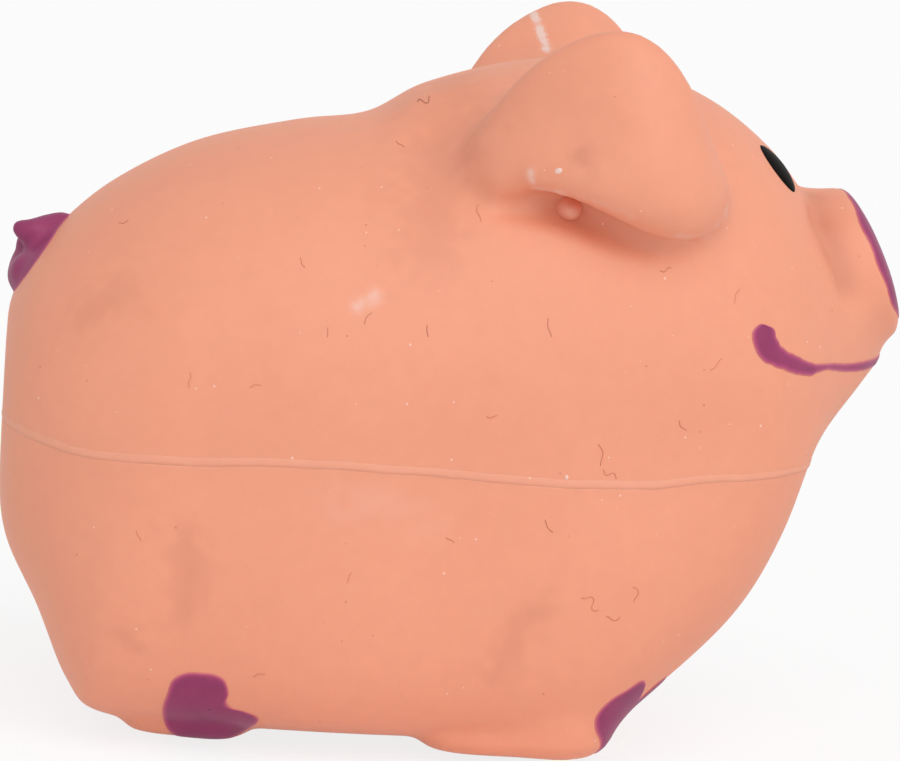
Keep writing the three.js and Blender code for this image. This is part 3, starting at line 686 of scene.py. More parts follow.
def inlaid(places, normals, lift, depth, closed):
    """Points and quads of a thin closed piece let into the skin, from a grid of places on it."""
    rows, columns = places.shape[:2]
    top = places + normals * lift[..., None]
    under = places - normals * depth
    index = np.arange(rows * columns).reshape(rows, columns)
    points = np.vstack([top.reshape(-1, 3), under.reshape(-1, 3)])
    beside = np.roll(index, -1, axis=1) if closed else index[:, 1:]
    here = index if closed else index[:, :-1]
    face = np.stack([here[:-1], here[1:], beside[1:], beside[:-1]], axis=-1).reshape(-1, 4)
    edges = [(here[-1], beside[-1])]
    if not closed:
        edges += [(beside[0], here[0]), (index[:-1, 0], index[1:, 0]), (index[1:, -1], index[:-1, -1])]
    behind = rows * columns
    sides = [np.stack([a, a + behind, b + behind, b], axis=-1) for a, b in edges]
    return points, np.vstack([face, face[:, ::-1] + behind] + sides)


def wobble(points, size, seed):
    """Smooth random shade from about -1 to 1 at each point, over a size in millimetres."""
    return np.array([noise.noise(Vector(p) / size + Vector((seed, 2 * seed, 3 * seed))) for p in points])


def ring_of(outline, count):
    """A closed outline drawn smoothly through its points."""
    outline = np.asarray(outline, float)
    steps = len(outline)
    held = np.vstack([outline[-1:], outline, outline[:2]])
    each = count // steps
    return curve_through(held, (steps + 2) * each + 1)[each:-each - 1]


def patch(outline, start, along, up, way):
    """A grid of places on the skin inside an outline thrown on to it from one side, and how near its edge."""
    edge = ring_of(outline, 144)
    middle = edge.mean(axis=0)
    share = np.append(np.linspace(0.02, 0.8, 8), np.linspace(0.84, 1, 9))[:, None, None]
    flat = middle + (edge - middle) * share
    starts = np.array(start) + flat[..., :1] * np.array(along) + flat[..., 1:] * np.array(up)
    places, normals = cast(starts.reshape(-1, 3), np.broadcast_to(way, (starts.size // 3, 3)))
    rim = 1 - (1 - share[..., 0]) * np.linalg.norm(edge - middle, axis=1) / RIM_WIDTH
    return places.reshape(starts.shape), normals.reshape(starts.shape), np.clip(rim, 0, 1)


def flush_lift(rim):
    """Height of an inlay above the skin: level in the middle, its edge tucked just under."""
    return 0.14 * (1 - rim**4) - 0.05 * rim**12


def dab(middle, lean, long, wide, height):
    """Points and quads of an oval drop standing on the skin, its long way along a lean."""
    place, normal, _, _ = moulding()[2].find_nearest(Vector(middle))
    normal = np.array(normal)
    lean = lean - normal * (lean @ normal)
    lean /= np.linalg.norm(lean)
    across = np.cross(normal, lean)
    turn = np.linspace(0, 2 * np.pi, 64, endpoint=False)
    share = np.sin(np.linspace(0.02, np.pi / 2, 20))[:, None] + 0 * turn
    along = (long / 2 * share * np.cos(turn))[..., None] * lean
    aside = (wide / 2 * share * np.sin(turn))[..., None] * across
    starts = np.array(place) + 4 * normal + (along + aside)
    places, normals = cast(starts.reshape(-1, 3), np.broadcast_to(-normal, (share.size, 3)))
    dome = (height + 0.08) * np.sqrt(np.clip(1 - share**2, 0, 1)) - 0.08
    return inlaid(places.reshape(starts.shape), normals.reshape(starts.shape), dome, DAB_DEPTH, True)


def near_line(points, line):
    """Distance of each point to a line of points."""
    nearest = np.full(len(points), np.inf)
    for start, end in zip(line[:-1], line[1:]):
        way = end - start
        share = np.clip((points - start) @ way / (way @ way + 1e-9), 0, 1)
        nearest = np.minimum(nearest, np.linalg.norm(points - start - share[:, None] * way, axis=1))
    return nearest


def wear_and_shade(points):
    """Dirt and painted shade in the creases and hollows, and pale rubbing, partly a painted highlight, on the
    ears' edges, from 0 to 1 at each point.
    """
    grime = np.zeros(len(points))
    ragged = 1 + 0.9 * wobble(points, 2.0, 3)
    mirrored = np.abs(points * (0, 1, 0)) + points * (1, 0, 1)
    # Dirt smudges, painted shade in the leg creases and a darker patch behind the ear, on the right side only
    for line, width, strength in SMUDGES_AND_SHADE:
        far = near_line(points[:, [0, 2]], np.array(line, float))
        grime = np.maximum(grime, strength * np.exp(-(far / width / ragged) ** 2) * (points[:, 1] < 0))
    # Painted shade in the hollows of both sides
    for line, width, strength in HOLLOW_SHADE:
        far = near_line(mirrored, np.array(line, float))
        grime = np.maximum(grime, strength * np.exp(-(far / width) ** 2))
    # Pale rubbing along the ears' front and lower rims, partly a painted highlight
    rim = EAR_RIM[6:12, :3]
    pale_wear_and_highlight = np.exp(-(near_line(mirrored, rim) / 1.1) ** 2) * np.clip(0.2 + 0.6 * wobble(points, 1.6, 7), 0, 1)
    for line, width, strength in SCUFFS:
        line = np.array(line, float)
        patchy = np.clip(0.6 + wobble(points, max(1.0, width), 5), 0.25, 1)
        pale_wear_and_highlight = np.maximum(pale_wear_and_highlight, strength * patchy * np.exp(-(near_line(points, line) / width) ** 2))
    return {"grime": grime, "pale_wear_and_highlight": pale_wear_and_highlight}


# Materials

def add_node(tree, kind, inputs=None, **settings):
    """Adds a node with its settings; an input is a constant or the socket to link from."""
    made = tree.nodes.new(kind)
    for name, value in settings.items():
        setattr(made, name, value)
    for key, value in (inputs or {}).items():
        if isinstance(value, bpy.types.NodeSocket):
            tree.links.new(value, made.inputs[key])
        else:
            made.inputs[key].default_value = value
    return made


def new_material(name):
    """An empty material, its node tree and the place on the piece, in metres."""
    material = bpy.data.materials.new(name)
    material.use_nodes = True
    tree = material.node_tree
    tree.nodes.clear()
    return material, tree, add_node(tree, "ShaderNodeTexCoord").outputs["Object"]


def rgba(colour, share=1.0):
    return (*(c * share for c in colour), 1)


def two_toned(tree, place, size, detail, one, other, **more):
    """A noise of a size in millimetres, and a colour that goes with it from one tone to the other."""
    cloud = add_node(tree, "ShaderNodeTexNoise", {
        "Vector": place, "Scale": 1 / (size * MM), "Detail": detail, **more}).outputs["Fac"]
    tone = add_node(tree, "ShaderNodeMix", {0: cloud, 6: one, 7: other}, data_type="RGBA")
    return cloud, tone.outputs[2]


def coral_latex(name="Coral moulded latex", paler=0.0):
    """Slush moulded latex: soft matte with light sinking in a little, faintly mottled and dusty."""
    material, tree, place = new_material(name)
    coral = [c + paler * (1 - c) for c in colours().coral]
    deep = (coral[0] * 0.96, coral[1] * 0.92, coral[2] * 0.9)
    # Clouds of pigment about 22 mm across and a fainter mottle of 2.5 mm
    _, tone = two_toned(tree, place, 22, 2, rgba(coral, 1.03), rgba(deep))
    mottle, mottled = two_toned(
        tree, place, 2.5, 3, rgba((0.965, 0.945, 0.945)), rgba((1.03, 1.045, 1.045)))
    colour = add_node(tree, "ShaderNodeMix", {0: 1.0, 6: tone, 7: mottled},
                      data_type="RGBA", blend_type="MULTIPLY")
    # Dirt, and painted shade in creases, hollows and under the seam bead, darken the colour
    grime = add_node(tree, "ShaderNodeAttribute", attribute_name="grime")
    dirty_and_shaded = add_node(tree, "ShaderNodeMix", {
        0: grime.outputs["Fac"], 6: colour.outputs[2], 7: rgba(linear("#a8614a"))}, data_type="RGBA")
    # Pale wear, partly a painted highlight on the ears' rims, lightens the colour
    pale_wear_and_highlight = add_node(tree, "ShaderNodeAttribute", attribute_name="pale_wear_and_highlight")
    worn_and_highlit = add_node(tree, "ShaderNodeMix", {
        0: pale_wear_and_highlight.outputs["Fac"], 6: dirty_and_shaded.outputs[2], 7: rgba(linear("#efcbbf"))}, data_type="RGBA")
    # Dust: one speck in each 2 mm cell, few of them large enough to see, some pale and some dark
    cell = add_node(tree, "ShaderNodeTexVoronoi", {"Vector": place, "Scale": 1 / (2 * MM)})
    chance = add_node(tree, "ShaderNodeSeparateColor", {"Color": cell.outputs["Color"]})
    speck_size = add_node(tree, "ShaderNodeMapRange", {
        "Value": chance.outputs[0], "From Min": 0.25, "From Max": 1.0, "To Min": 0.0, "To Max": 0.085})
    speck = add_node(tree, "ShaderNodeMath", {0: cell.outputs["Distance"], 1: speck_size.outputs[0]},
                     operation="LESS_THAN")
    pale = add_node(tree, "ShaderNodeMath", {0: chance.outputs[1], 1: 0.35}, operation="GREATER_THAN")
    speck_tone = add_node(tree, "ShaderNodeMix", {
        0: pale.outputs[0], 6: rgba(linear("#d68568")), 7: rgba(linear("#f7c4b0"))}, data_type="RGBA")
    dusty = add_node(tree, "ShaderNodeMix", {
        0: speck.outputs[0], 6: worn_and_highlit.outputs[2], 7: speck_tone.outputs[2]}, data_type="RGBA")
    # Skin grain of 0.45 mm over slow dimples of 5 mm
    grain = add_node(tree, "ShaderNodeTexNoise", {"Vector": place, "Scale": 1 / (0.45 * MM), "Detail": 2})
    dimple = add_node(tree, "ShaderNodeTexNoise", {"Vector": place, "Scale": 1 / (5 * MM), "Detail": 1})
    slow = add_node(tree, "ShaderNodeBump", {
        "Height": dimple.outputs["Fac"], "Strength": 0.25, "Distance": 0.4 * MM})
    bump = add_node(tree, "ShaderNodeBump", {
        "Height": grain.outputs["Fac"], "Strength": 0.14, "Distance": 0.12 * MM,
        "Normal": slow.outputs["Normal"]})
    sheen = add_node(tree, "ShaderNodeMapRange", {"Value": mottle, "To Min": 0.5, "To Max": 0.66})
    skin = add_node(tree, "ShaderNodeBsdfPrincipled", {
        "Base Color": dusty.outputs[2], "Roughness": sheen.outputs[0], "IOR": 1.52,
        "Subsurface Weight": 0.1, "Subsurface Scale": 1.5 * MM, "Normal": bump.outputs["Normal"]})
    add_node(tree, "ShaderNodeOutputMaterial", {"Surface": skin.outputs["BSDF"]})
    return material


def purple_latex():
    """Purple latex let into the coral: its thin edge shows pink, the rest is smooth with dark dots."""
    material, tree, place = new_material("Purple slushed latex")
    purple = colours().purple
    bright = (purple[0] * 1.2, purple[1] * 1.2, purple[2] * 1.15)
    cloud, tone = two_toned(tree, place, 3, 3, rgba(purple, 0.82), rgba(bright))
    dot = add_node(tree, "ShaderNodeTexVoronoi", {"Vector": place, "Scale": 1 / (1.3 * MM)})
    dotted = add_node(tree, "ShaderNodeMapRange", {
        "Value": dot.outputs["Distance"], "From Min": 0.05, "From Max": 0.16, "To Min": 0.35, "To Max": 0.0})
    dark = add_node(tree, "ShaderNodeMix", {
        0: dotted.outputs[0], 6: tone, 7: rgba(purple, 0.45)}, data_type="RGBA")
    rim = add_node(tree, "ShaderNodeAttribute", attribute_name="rim")
    ragged = add_node(tree, "ShaderNodeMath", {0: cloud, 1: 0.16, 2: -0.08}, operation="MULTIPLY_ADD")
    edge = add_node(tree, "ShaderNodeMath", {0: rim.outputs["Fac"], 1: ragged.outputs[0]}, operation="ADD")
    pink, thin = (
        add_node(tree, "ShaderNodeMapRange", {"Value": edge.outputs[0], "From Min": low, "From Max": high})
        for low, high in ((0.15, 0.65), (0.6, 0.95)))
    pinked = add_node(tree, "ShaderNodeMix", {
        0: pink.outputs[0], 6: dark.outputs[2], 7: rgba(linear("#b24a73"))}, data_type="RGBA")
    faded = add_node(tree, "ShaderNodeMix", {
        0: thin.outputs[0], 6: pinked.outputs[2], 7: rgba(linear("#db8478"))}, data_type="RGBA")
    bump = add_node(tree, "ShaderNodeBump", {
        "Height": cloud, "Strength": 0.2, "Distance": 0.2 * MM})
    skin = add_node(tree, "ShaderNodeBsdfPrincipled", {
        "Base Color": faded.outputs[2], "Roughness": 0.5, "IOR": 1.52, "Specular IOR Level": 0.25,
        "Normal": bump.outputs["Normal"]})
    add_node(tree, "ShaderNodeOutputMaterial", {"Surface": skin.outputs["BSDF"]})
    return material


def black_gloss():
    """Black enamel dabbed on: a dark satin pool with a soft highlight, a little uneven."""
    material, tree, place = new_material("Black enamel")
    pool, tone = two_toned(tree, place, 1.8, 2, rgba(linear("#0b0a0a")), rgba(linear("#1b1816")))
    bump = add_node(tree, "ShaderNodeBump", {"Height": pool, "Strength": 0.15, "Distance": 0.2 * MM})
    rough = add_node(tree, "ShaderNodeMapRange", {"Value": pool, "To Min": 0.42, "To Max": 0.55})
    paint = add_node(tree, "ShaderNodeBsdfPrincipled", {
        "Base Color": tone, "Roughness": rough.outputs[0], "IOR": 1.5, "Specular IOR Level": 0.03,
        "Normal": bump.outputs["Normal"]})
    add_node(tree, "ShaderNodeOutputMaterial", {"Surface": paint.outputs["BSDF"]})
    return material


def fibre_fill():
    """Polyester fibre fill: white and fluffy. Its fine strands are drawn 1.6 mm across, to show at all."""
    material, tree, place = new_material("Polyester fibre fill")
    strand, tone = two_toned(
        tree, place, 1.6, 5, rgba(linear("#c9c8c4")), rgba(linear("#f3f2ef")), Distortion=2.5)
    bump = add_node(tree, "ShaderNodeBump", {"Height": strand, "Strength": 0.8, "Distance": 0.8 * MM})
    fluff = add_node(tree, "ShaderNodeBsdfPrincipled", {
        "Base Color": tone, "Roughness": 0.9, "IOR": 1.45, "Sheen Weight": 0.4,
        "Normal": bump.outputs["Normal"]})
    add_node(tree, "ShaderNodeOutputMaterial", {"Surface": fluff.outputs["BSDF"]})
    return material


def white_plastic():
    """Moulded polyethylene: milky white, waxy, with a fine spark grain."""
    material, tree, place = new_material("White moulded polyethylene")
    _, tone = two_toned(tree, place, 4, 2, rgba(linear("#dedbd2")), rgba(linear("#efeee8")))
    grain = add_node(tree, "ShaderNodeTexNoise", {"Vector": place, "Scale": 1 / (0.3 * MM), "Detail": 1})
    bump = add_node(tree, "ShaderNodeBump", {
        "Height": grain.outputs["Fac"], "Strength": 0.15, "Distance": 0.08 * MM})
    plastic = add_node(tree, "ShaderNodeBsdfPrincipled", {
        "Base Color": tone, "Roughness": 0.42, "IOR": 1.51, "Subsurface Weight": 0.1,
        "Subsurface Scale": 1 * MM, "Normal": bump.outputs["Normal"]})
    add_node(tree, "ShaderNodeOutputMaterial", {"Surface": plastic.outputs["BSDF"]})
    return material


def clear_film():
    """Polyester film: clear with a faint haze and drawing lines."""
    material, tree, place = new_material("Clear polyester film")
    lines = add_node(tree, "ShaderNodeTexWave", {
        "Vector": place, "Scale": 1 / (1.2 * MM), "Distortion": 1.5}).outputs["Fac"]
    rough = add_node(tree, "ShaderNodeMapRange", {"Value": lines, "To Min": 0.08, "To Max": 0.22})
    film = add_node(tree, "ShaderNodeBsdfPrincipled", {
        "Base Color": rgba(linear("#dfe3e2")), "Roughness": rough.outputs[0], "IOR": 1.57,
        "Transmission Weight": 0.7})
    add_node(tree, "ShaderNodeOutputMaterial", {"Surface": film.outputs["BSDF"]})
    return material


def bloomed_latex():
    """Chipped and bloomed latex: chalky pale pink, dry and rough."""
    material, tree, place = new_material("Bloomed latex")
    chalk, tone = two_toned(tree, place, 0.6, 3, rgba(linear("#eeb7a4")), rgba(linear("#f2dbd3")))
    bump = add_node(tree, "ShaderNodeBump", {"Height": chalk, "Strength": 0.4, "Distance": 0.15 * MM})
    dry = add_node(tree, "ShaderNodeBsdfPrincipled", {
        "Base Color": tone, "Roughness": 0.75, "IOR": 1.52, "Normal": bump.outputs["Normal"]})
    add_node(tree, "ShaderNodeOutputMaterial", {"Surface": dry.outputs["BSDF"]})
    return material


def lint_fibre():
    """Stray textile fibres: thin and dull, from brown to a coral near the skin's."""
    material, tree, _ = new_material("Lint fibre")
    tint = add_node(tree, "ShaderNodeAttribute", attribute_name="tint")
    tone = add_node(tree, "ShaderNodeMix", {
        0: tint.outputs["Fac"], 6: rgba(linear("#8d5745")), 7: rgba(linear("#f3a184"))}, data_type="RGBA")
    fibre = add_node(tree, "ShaderNodeBsdfPrincipled", {
        "Base Color": tone.outputs[2], "Roughness": 0.7, "IOR": 1.5})
    add_node(tree, "ShaderNodeOutputMaterial", {"Surface": fibre.outputs["BSDF"]})
    return material


def background_rays(tree):
    """Socket that is 1 where the camera, a reflection or a clear piece sees the background."""
    rays = add_node(tree, "ShaderNodeLightPath")
    seen = rays.outputs["Is Camera Ray"]
    for ray in ("Is Glossy Ray", "Is Transmission Ray"):
        either = add_node(tree, "ShaderNodeMath", {0: seen, 1: rays.outputs[ray]}, operation="MAXIMUM")
        seen = either.outputs[0]
    return seen


def studio_paper():
    """White seamless paper: matte, seen nearly white, and it keeps the pig's shadow."""
    material, tree, place = new_material("White studio paper")
    _, tone = two_toned(tree, place, 3, 2, rgba(linear("#fafafa")), rgba(linear("#fdfdfd")))
    paper = add_node(tree, "ShaderNodeBsdfDiffuse", {"Color": tone})
    glow = add_node(tree, "ShaderNodeEmission", {"Color": (1, 1, 1, 1), "Strength": 1.0})
    share = add_node(tree, "ShaderNodeMath", {0: background_rays(tree), 1: 0.82}, operation="MULTIPLY")
    mix = add_node(tree, "ShaderNodeMixShader", {
        0: share.outputs[0], 1: paper.outputs["BSDF"], 2: glow.outputs["Emission"]})
    add_node(tree, "ShaderNodeOutputMaterial", {"Surface": mix.outputs["Shader"]})
    return material


# Operators

class PIG_OT_stage(bpy.types.Operator):
    """Sets up the floor, light and camera."""

    bl_idname = "pig.stage"
    bl_label = "Stage"

    def execute(self, context):
        scene = context.scene
        scene.view_settings.view_transform = "Standard"
        floor_mesh = bpy.data.meshes.new("floor")
        corners = [(FLOOR_REACH * a, FLOOR_REACH * b, 0) for a, b in ((-1, -1), (1, -1), (1, 1), (-1, 1))]
        floor_mesh.from_pydata(corners, [], [(0, 1, 2, 3)])
        floor = bpy.data.objects.new("floor", floor_mesh)
        floor_mesh.materials.append(studio_paper())
        context.collection.objects.link(floor)

        world = bpy.data.worlds.new("Soft white room")
        world.use_nodes = True
        room = world.node_tree
        way = add_node(room, "ShaderNodeTexCoord").outputs["Generated"]
        behind = add_node(room, "ShaderNodeVectorMath", {0: way, 1: DIM_WAY}, operation="DOT_PRODUCT")
        light = add_node(room, "ShaderNodeMapRange", {
            "Value": behind.outputs["Value"], "From Min": -0.6, "From Max": 0.9,
            "To Min": ROOM_STRENGTH[0], "To Max": ROOM_STRENGTH[1]})
        room.nodes["Background"].inputs["Color"].default_value = (1, 1, 1, 1)
        white = add_node(
            room, "ShaderNodeMath", {0: light.outputs[0], 1: background_rays(room)}, operation="MAXIMUM")
        room.links.new(white.outputs[0], room.nodes["Background"].inputs["Strength"])
        scene.world = world
        sun = bpy.data.lights.new("Soft key", "SUN")
        sun.energy = KEY_STRENGTH
        sun.angle = math.radians(KEY_SPREAD)
        key = bpy.data.objects.new("Soft key", sun)
        key.rotation_euler = Vector(KEY_WAY).to_track_quat("Z", "Y").to_euler()
        context.collection.objects.link(key)

        lens = bpy.data.cameras.new("Camera")
        lens.lens = LENS
        lens.sensor_width = SENSOR
        lens.clip_start = 0.05
        camera = bpy.data.objects.new("Camera", lens)
        context.collection.objects.link(camera)
        around, above, roll = (math.radians(a) for a in CAMERA_TURN)
        level = math.cos(above)
        back = Vector((math.sin(around) * level, -math.cos(around) * level, math.sin(above)))
        camera.location = Vector((RUMP + CAMERA_AIM[0], 0, CAMERA_AIM[1])) + back * CAMERA_BACK
        aim = back.to_track_quat("Z", "Y").to_matrix() @ Matrix.Rotation(roll, 3, "Z")
        down = math.atan(VIEW_DROP / (LENS / SENSOR * PHOTO_WIDTH))
        camera.rotation_euler = (aim @ Matrix.Rotation(-down, 3, "X")).to_euler()
        scene.camera = camera
        return {"FINISHED"}


class PIG_OT_skins(bpy.types.Operator):
    """Moulds the upper and lower latex skins and draws the seam bead between them."""

    bl_idname = "pig.skins"
    bl_label = "Latex skins and seam"

    def execute(self, context):
        latex = coral_latex()
        for name, upper in (("upper_skin", True), ("lower_skin", False)):
            points, quads = half_skin(upper)
            new_piece(f"{name}_latex", points, quads, latex, "upper_body" if upper else "lower_body",
                      "coral_latex", [name], **wear_and_shade(points))
        self.seam_bead()
        return {"FINISHED"}

    def seam_bead(self):
        turn = np.linspace(0, 2 * np.pi, SEAM_STEPS, endpoint=False)
        ways = np.stack([np.cos(turn), np.sin(turn), 0 * turn], axis=-1)
        starts = np.array(SEAM_MIDDLE) + SEAM_THROW * ways
        places = starts.copy()
        # The seam's height depends on where the skin is met, so the throw is made again from there
        for _ in range(3):
            starts[:, 2] = seam_height(places[:, 0])
            places, normals = cast(starts, -ways)
        flat = normals * (1, 1, 0)
        flat /= np.linalg.norm(flat, axis=1)[:, None]
        size = 1 + 0.55 * wobble(places, 5.0, 1) + 0.25 * wobble(places, 1.4, 2)
        drift = 0.28 * wobble(places, 9.0, 4) + 0.08 * wobble(places, 2.2, 6)
        rings = np.stack([
            places + flat * (out * (size if out > 0 else 1 + 0 * size))[:, None]
            + np.array([0, 0, 1.0]) * (up + drift)[:, None]
            for out, up in SEAM_SHAPE], axis=1)
        index = np.arange(rings.shape[0] * rings.shape[1]).reshape(rings.shape[:2])
        ahead, beside = np.roll(index, -1, axis=0), np.roll(index, -1, axis=1)
        quads = np.stack([index, beside, np.roll(beside, -1, axis=0), ahead], axis=-1).reshape(-1, 4)
        # The bead is a little paler: a pale flash, partly a painted highlight
        pale = coral_latex("Pale seam latex", sizes().seam_pale_and_highlight)
        # Painted shade along the bead's lower edge
        new_piece("seam_bead_latex", rings.reshape(-1, 3), quads, pale, "upper_body", "seam_latex",
                  ["seam_bead"], grime=np.tile(SEAM_SHADE, len(rings)))


class PIG_OT_hooves(bpy.types.Operator):
    """Lets the four purple hooves into the feet."""

    bl_idname = "pig.hooves"
    bl_label = "Hooves"

    def execute(self, context):
        purple = purple_latex()
        for place, (outline, turn) in HOOVES.items():
            turn = math.radians(turn)
            for side, y in (("right", -1), ("left", 1)):
                along = (math.cos(turn), -y * math.sin(turn), 0)
                way = (-math.sin(turn), -y * math.cos(turn), 0)
                start = -HOOF_THROW * np.array(way)
                places, normals, rim = patch(outline, start, along, (0, 0, 1), way)
                points, quads = inlaid(places, normals, flush_lift(rim), INLAY_DEPTH, True)
                if y > 0:
                    quads = quads[:, ::-1]
                new_piece(f"hoof_{place}_{side}_latex", points, quads, purple, "lower_body", "purple_latex",
                          [f"hoof_{place}_{side}"], rim=np.tile(rim.ravel(), 2))
        return {"FINISHED"}


class PIG_OT_face(bpy.types.Operator):
    """Adds the nose pad, the mouth line and the two eyes."""

    bl_idname = "pig.face"
    bl_label = "Nose, mouth and eyes"

    def execute(self, context):
        purple = purple_latex()
        self.nose(purple)
        self.mouth(purple)
        self.eyes()
        return {"FINISHED"}

    def nose(self, purple):
        axes = snout_axes()
        focus = np.array([NOSE_PLACE[0], 0, NOSE_PLACE[1]]) - NOSE_FOCUS * axes[:, 2]
        turn = np.linspace(0, 2 * np.pi, 144, endpoint=False)
        share = np.append(np.linspace(0.01, 0.88, 32), np.linspace(0.89, 1, 12))[:, None] + 0 * turn
        # The hem is a little wavy, and drawn in at the lower edge
        hem = 1 + 0.02 * np.sin(5 * turn) + 0.015 * np.sin(11 * turn + 1)
        hem = hem - 0.28 * np.cos(turn) * np.clip(np.cos(turn), -0.2, 1)
        spread = np.tan(np.radians(NOSE_SPREAD)) * share * hem
        down = (spread * np.cos(turn))[..., None] * axes[:, 0]
        aside = (SNOUT_OVAL * spread * np.sin(turn))[..., None] * axes[:, 1]
        ways = (down + aside + axes[:, 2]).reshape(-1, 3)
        ways /= np.linalg.norm(ways, axis=1)[:, None]
        places, normals = cast(focus + NOSE_THROW * ways, -ways)
        shape = (*share.shape, 3)
        rim = np.clip(1 - (1 - share) * SNOUT_PROFILE[4][0] / RIM_WIDTH, 0, 1)
        points, quads = inlaid(
            places.reshape(shape), normals.reshape(shape), flush_lift(rim), INLAY_DEPTH, True)
        new_piece("nose_pad_latex", points, quads, purple, "upper_body", "purple_latex", ["nose_pad"],
                  rim=np.tile(rim.ravel(), 2))

    def mouth(self, purple):
        half = curve_through(MOUTH_LINE, 120)
        line = np.vstack([half * (-1, 1, 1), half[-2::-1]])
        flat = np.column_stack([np.radians(line[:, 0]) * MOUTH_SWEEP, line[:, 1]])
        step = np.gradient(flat, axis=0)
        step /= np.linalg.norm(step, axis=1)[:, None]
        side = np.column_stack([-step[:, 1], step[:, 0]])
        ragged = 1 + 0.12 * wobble(np.column_stack([flat, 0 * flat[:, 0]]), 1.1, 8)
        across = np.linspace(-1, 1, 13)
        grid = flat[:, None] + side[:, None] * (across * (line[:, 2] * ragged / 2)[:, None])[..., None]
        turn = (grid[..., 0] / MOUTH_SWEEP).ravel()
        ways = np.stack([np.cos(turn), np.sin(turn), 0 * turn], axis=-1)
        starts = np.array([MOUTH_MIDDLE, 0, 0]) + MOUTH_THROW * ways
        starts[:, 2] = grid[..., 1].ravel()
        places, normals = cast(starts, -ways)
        edge = np.abs(across) + 0 * grid[..., 0]
        ends = np.minimum(np.arange(len(line)), np.arange(len(line))[::-1])[:, None]
        edge = np.maximum(edge, np.clip(1 - ends / 6, 0, 1))
        shape = (*edge.shape, 3)
        rim = np.clip(1 - (1 - edge) * line[:, 2:] / 2 / RIM_WIDTH, 0, 1)
        points, quads = inlaid(
            places.reshape(shape), normals.reshape(shape), flush_lift(rim), MOUTH_DEPTH, False)
        new_piece("mouth_line_latex", points, quads, purple, "upper_body", "purple_latex", ["mouth_line"],
                  rim=np.tile(rim.ravel(), 2))

    def eyes(self):
        gloss = black_gloss()
        for side, y in (("right", -1), ("left", 1)):
            across = np.array((1, y, 1))
            points, quads = dab(EYE_PLACE * across, EYE_LEAN * across, EYE_LONG, EYE_WIDE, EYE_HIGH)
            new_piece(
                f"eye_{side}_enamel", points, quads, gloss, "upper_body", "black_gloss", [f"eye_{side}"])


class PIG_OT_tail(bpy.types.Operator):
    """Shapes the purple tail, a curl on a broad base."""

    bl_idname = "pig.tail"
    bl_label = "Tail"

    def execute(self, context):
        field = Field(TAIL_LOW, TAIL_HIGH, TAIL_VOXEL)
        x, y, z = field.axes()
        across, up = np.broadcast_arrays(y[0], z[0])
        starts = np.stack([np.full(across.shape, -20.0), across, up], axis=-1).reshape(-1, 3)
        rump = cast(starts, np.broadcast_to((1.0, 0, 0), starts.shape))[0][:, 0].reshape(across.shape)
        proud = 0.8 * (rump - x)
        height, tall, wide, bulge = TAIL_BASE
        tail = proud - bulge * (1 - ((z - height) / tall) ** 2 - (y / wide) ** 2)
        tail = np.maximum(tail, -1.2 - proud)
        rope = np.full(field.shape, BAND)
        for a, b, c, thick in curve_through(TAIL_CURL, 90):
            rope = np.minimum(rope, np.sqrt((x - a) ** 2 + (y - b) ** 2 + (z - c) ** 2) - thick)
        points, quads = field.surface(melted(tail, rope, TAIL_MELT))
        quads = quads.astype(int)
        points = relaxed(points.astype(float), quads, 3)
        tree = moulding()[2]
        near = np.array([tree.find_nearest(Vector(p))[3] for p in points])
        new_piece("tail_latex", points, quads, purple_latex(), "upper_body", "purple_latex", ["tail"],
                  rim=np.clip(1 - near / 0.25, 0, 1))
        return {"FINISHED"}


class PIG_OT_stuffing(bpy.types.Operator):
    """Packs the two wads of fibre into the skins."""

    bl_idname = "pig.stuffing"
    bl_label = "Fibre stuffing"

    def execute(self, context):
        field = Field(FIELD_LOW, FIELD_HIGH, 1.2)
        x, y, z = field.axes()
        wad = field.distance(body_form()) + sizes().wall / MM + 0.9
        small = np.sin(x / 3.1 + 1) * np.sin(y / 2.7) * np.sin(z / 3.4)
        large = 0.6 * np.sin((x + y) / 5) * np.sin(z / 4)
        lump = 0.8 * (small + large)
        wad = wad + 0.5 + lump / 2
        seam = float(np.mean(SEAM_LINE[:, 1]))
        squeaker = np.hypot(x - SQUEAKER[0], y) - SQUEAKER[1]
        room = np.minimum(-squeaker, SQUEAKER[2] - z)
        fluff = fibre_fill()
        for name, cut in (("upper_fill", seam + 0.4 - z), ("lower_fill", z - seam + 0.4)):
            points, quads = field.surface(np.maximum(np.maximum(wad, cut), room))
            quads = quads.astype(int)
            body = "upper_body" if name == "upper_fill" else "lower_body"
            piece = new_piece(f"{name}_fibre", relaxed(points.astype(float), quads, 2), quads, fluff, body,
                              "polyester_fibre", [name])
        return {"FINISHED"}


class PIG_OT_squeaker(bpy.types.Operator):
    """Gives the squeaker's solids their plastics."""

    bl_idname = "pig.squeaker"
    bl_label = "Squeaker"

    def execute(self, context):
        plastic = white_plastic()
        for name in ("squeaker_cup", "reed_tube", "reed_collar"):
            self.coat(name, plastic)
        self.coat("reed", clear_film())
        return {"FINISHED"}

    def coat(self, name, material):
        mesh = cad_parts[name].data
        mesh.materials.clear()
        mesh.materials.append(material)


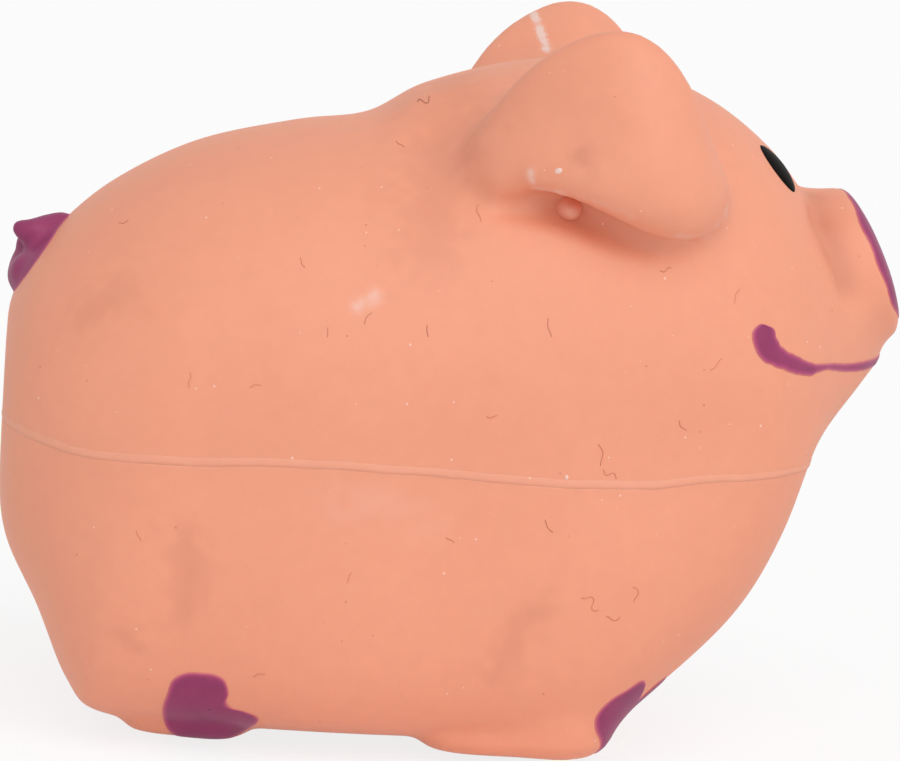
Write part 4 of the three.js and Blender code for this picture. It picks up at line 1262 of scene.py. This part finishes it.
class PIG_OT_marks(bpy.types.Operator):
    """Adds the vent nub under the right ear, pale chips and stray lint."""

    bl_idname = "pig.marks"
    bl_label = "Nub, chips and lint"

    def execute(self, context):
        points, quads, ends = turned_form(NUB_PROFILE, 32)
        place = cast([(NUB_PLACE[0], -SIDE_THROW, NUB_PLACE[1])], [(0, 1, 0)])[0]
        points = points @ np.array(Vector(NUB_WAY).to_track_quat("Z", "Y").to_matrix()).T + place
        latex = coral_latex("Nub latex", 0.06)
        new_piece("ear_nub_latex", points, [*quads, *ends], latex, "upper_body", "coral_latex")
        chalk = bloomed_latex()
        for name, (middle, lean, size) in CHIPS.items():
            points, quads = dab(np.array(middle), np.array(lean), *size)
            new_piece(name, points, quads, chalk, "upper_body", "seam_latex")
        fibre = lint_fibre()
        for body, hairs in LINT.items():
            points, quads, tints = [], [], []
            for hair in hairs:
                ring, faces = self.hair(*hair[:5])
                quads.append(faces + len(points) * len(ring))
                points.append(ring)
                tints.append(np.full(len(ring), hair[5]))
            new_piece(f"lint_{body}", np.vstack(points), np.vstack(quads), fibre, f"{body}_body",
                      "seam_latex", tint=np.concatenate(tints))
        return {"FINISHED"}

    def hair(self, x, z, turn, length, bend):
        """A thin fibre in short steps lying on the right flank, four points round."""
        share = np.linspace(0, 1, HAIR_STEPS)
        turn = math.radians(turn) + bend * np.sin((1.2 + x % 1.5) * np.pi * share + z)
        step = length / (HAIR_STEPS - 1)
        along, up = (start + step * np.cumsum(way(turn)) for start, way in ((x, np.cos), (z, np.sin)))
        line = np.column_stack([along, np.full(HAIR_STEPS, -SIDE_THROW), up])
        places, normals = cast(line, np.broadcast_to((0, 1.0, 0), line.shape))
        ahead = np.gradient(places, axis=0)
        side = np.cross(ahead, normals)
        side /= np.linalg.norm(side, axis=1)[:, None]
        places = places + normals * HAIR_LIFT
        round_it = ((1, 0), (0, 1), (-1, 0), (0, -1))
        rings = np.stack([places + HAIR * (normals * b + side * a) for a, b in round_it], axis=1)
        index = np.arange(rings.shape[0] * rings.shape[1]).reshape(rings.shape[:2])
        beside = np.roll(index, -1, axis=1)
        quads = np.stack([index[:-1], beside[:-1], beside[1:], index[1:]], axis=-1).reshape(-1, 4)
        return rings.reshape(-1, 3), np.vstack([quads, index[:1, ::-1], index[-1:]])


class PIG_PT_panel(bpy.types.Panel):
    """Lists the pig's pieces in the sidebar."""

    bl_idname = "PIG_PT_panel"
    bl_label = "Latex pig"
    bl_space_type = "VIEW_3D"
    bl_region_type = "UI"
    bl_category = "Latex pig"

    def draw(self, context):
        for operator in OPERATORS:
            self.layout.operator(operator.bl_idname)


OPERATORS = (
    PIG_OT_stage, PIG_OT_skins, PIG_OT_hooves, PIG_OT_face, PIG_OT_tail, PIG_OT_stuffing, PIG_OT_squeaker,
    PIG_OT_marks,
)
CLASSES = (PigSizes, PigColours, *OPERATORS, PIG_PT_panel)


def register():
    for kind in CLASSES:
        bpy.utils.register_class(kind)
    bpy.types.Scene.pig_sizes = PointerProperty(type=PigSizes)
    bpy.types.Scene.pig_colours = PointerProperty(type=PigColours)


def unregister():
    del bpy.types.Scene.pig_colours
    del bpy.types.Scene.pig_sizes
    for kind in reversed(CLASSES):
        bpy.utils.unregister_class(kind)


def main():
    register()
    bpy.ops.pig.stage()
    bpy.ops.pig.skins()
    bpy.ops.pig.hooves()
    bpy.ops.pig.face()
    bpy.ops.pig.tail()
    bpy.ops.pig.stuffing()
    bpy.ops.pig.squeaker()
    bpy.ops.pig.marks()


if __name__ == "__main__":
    main()
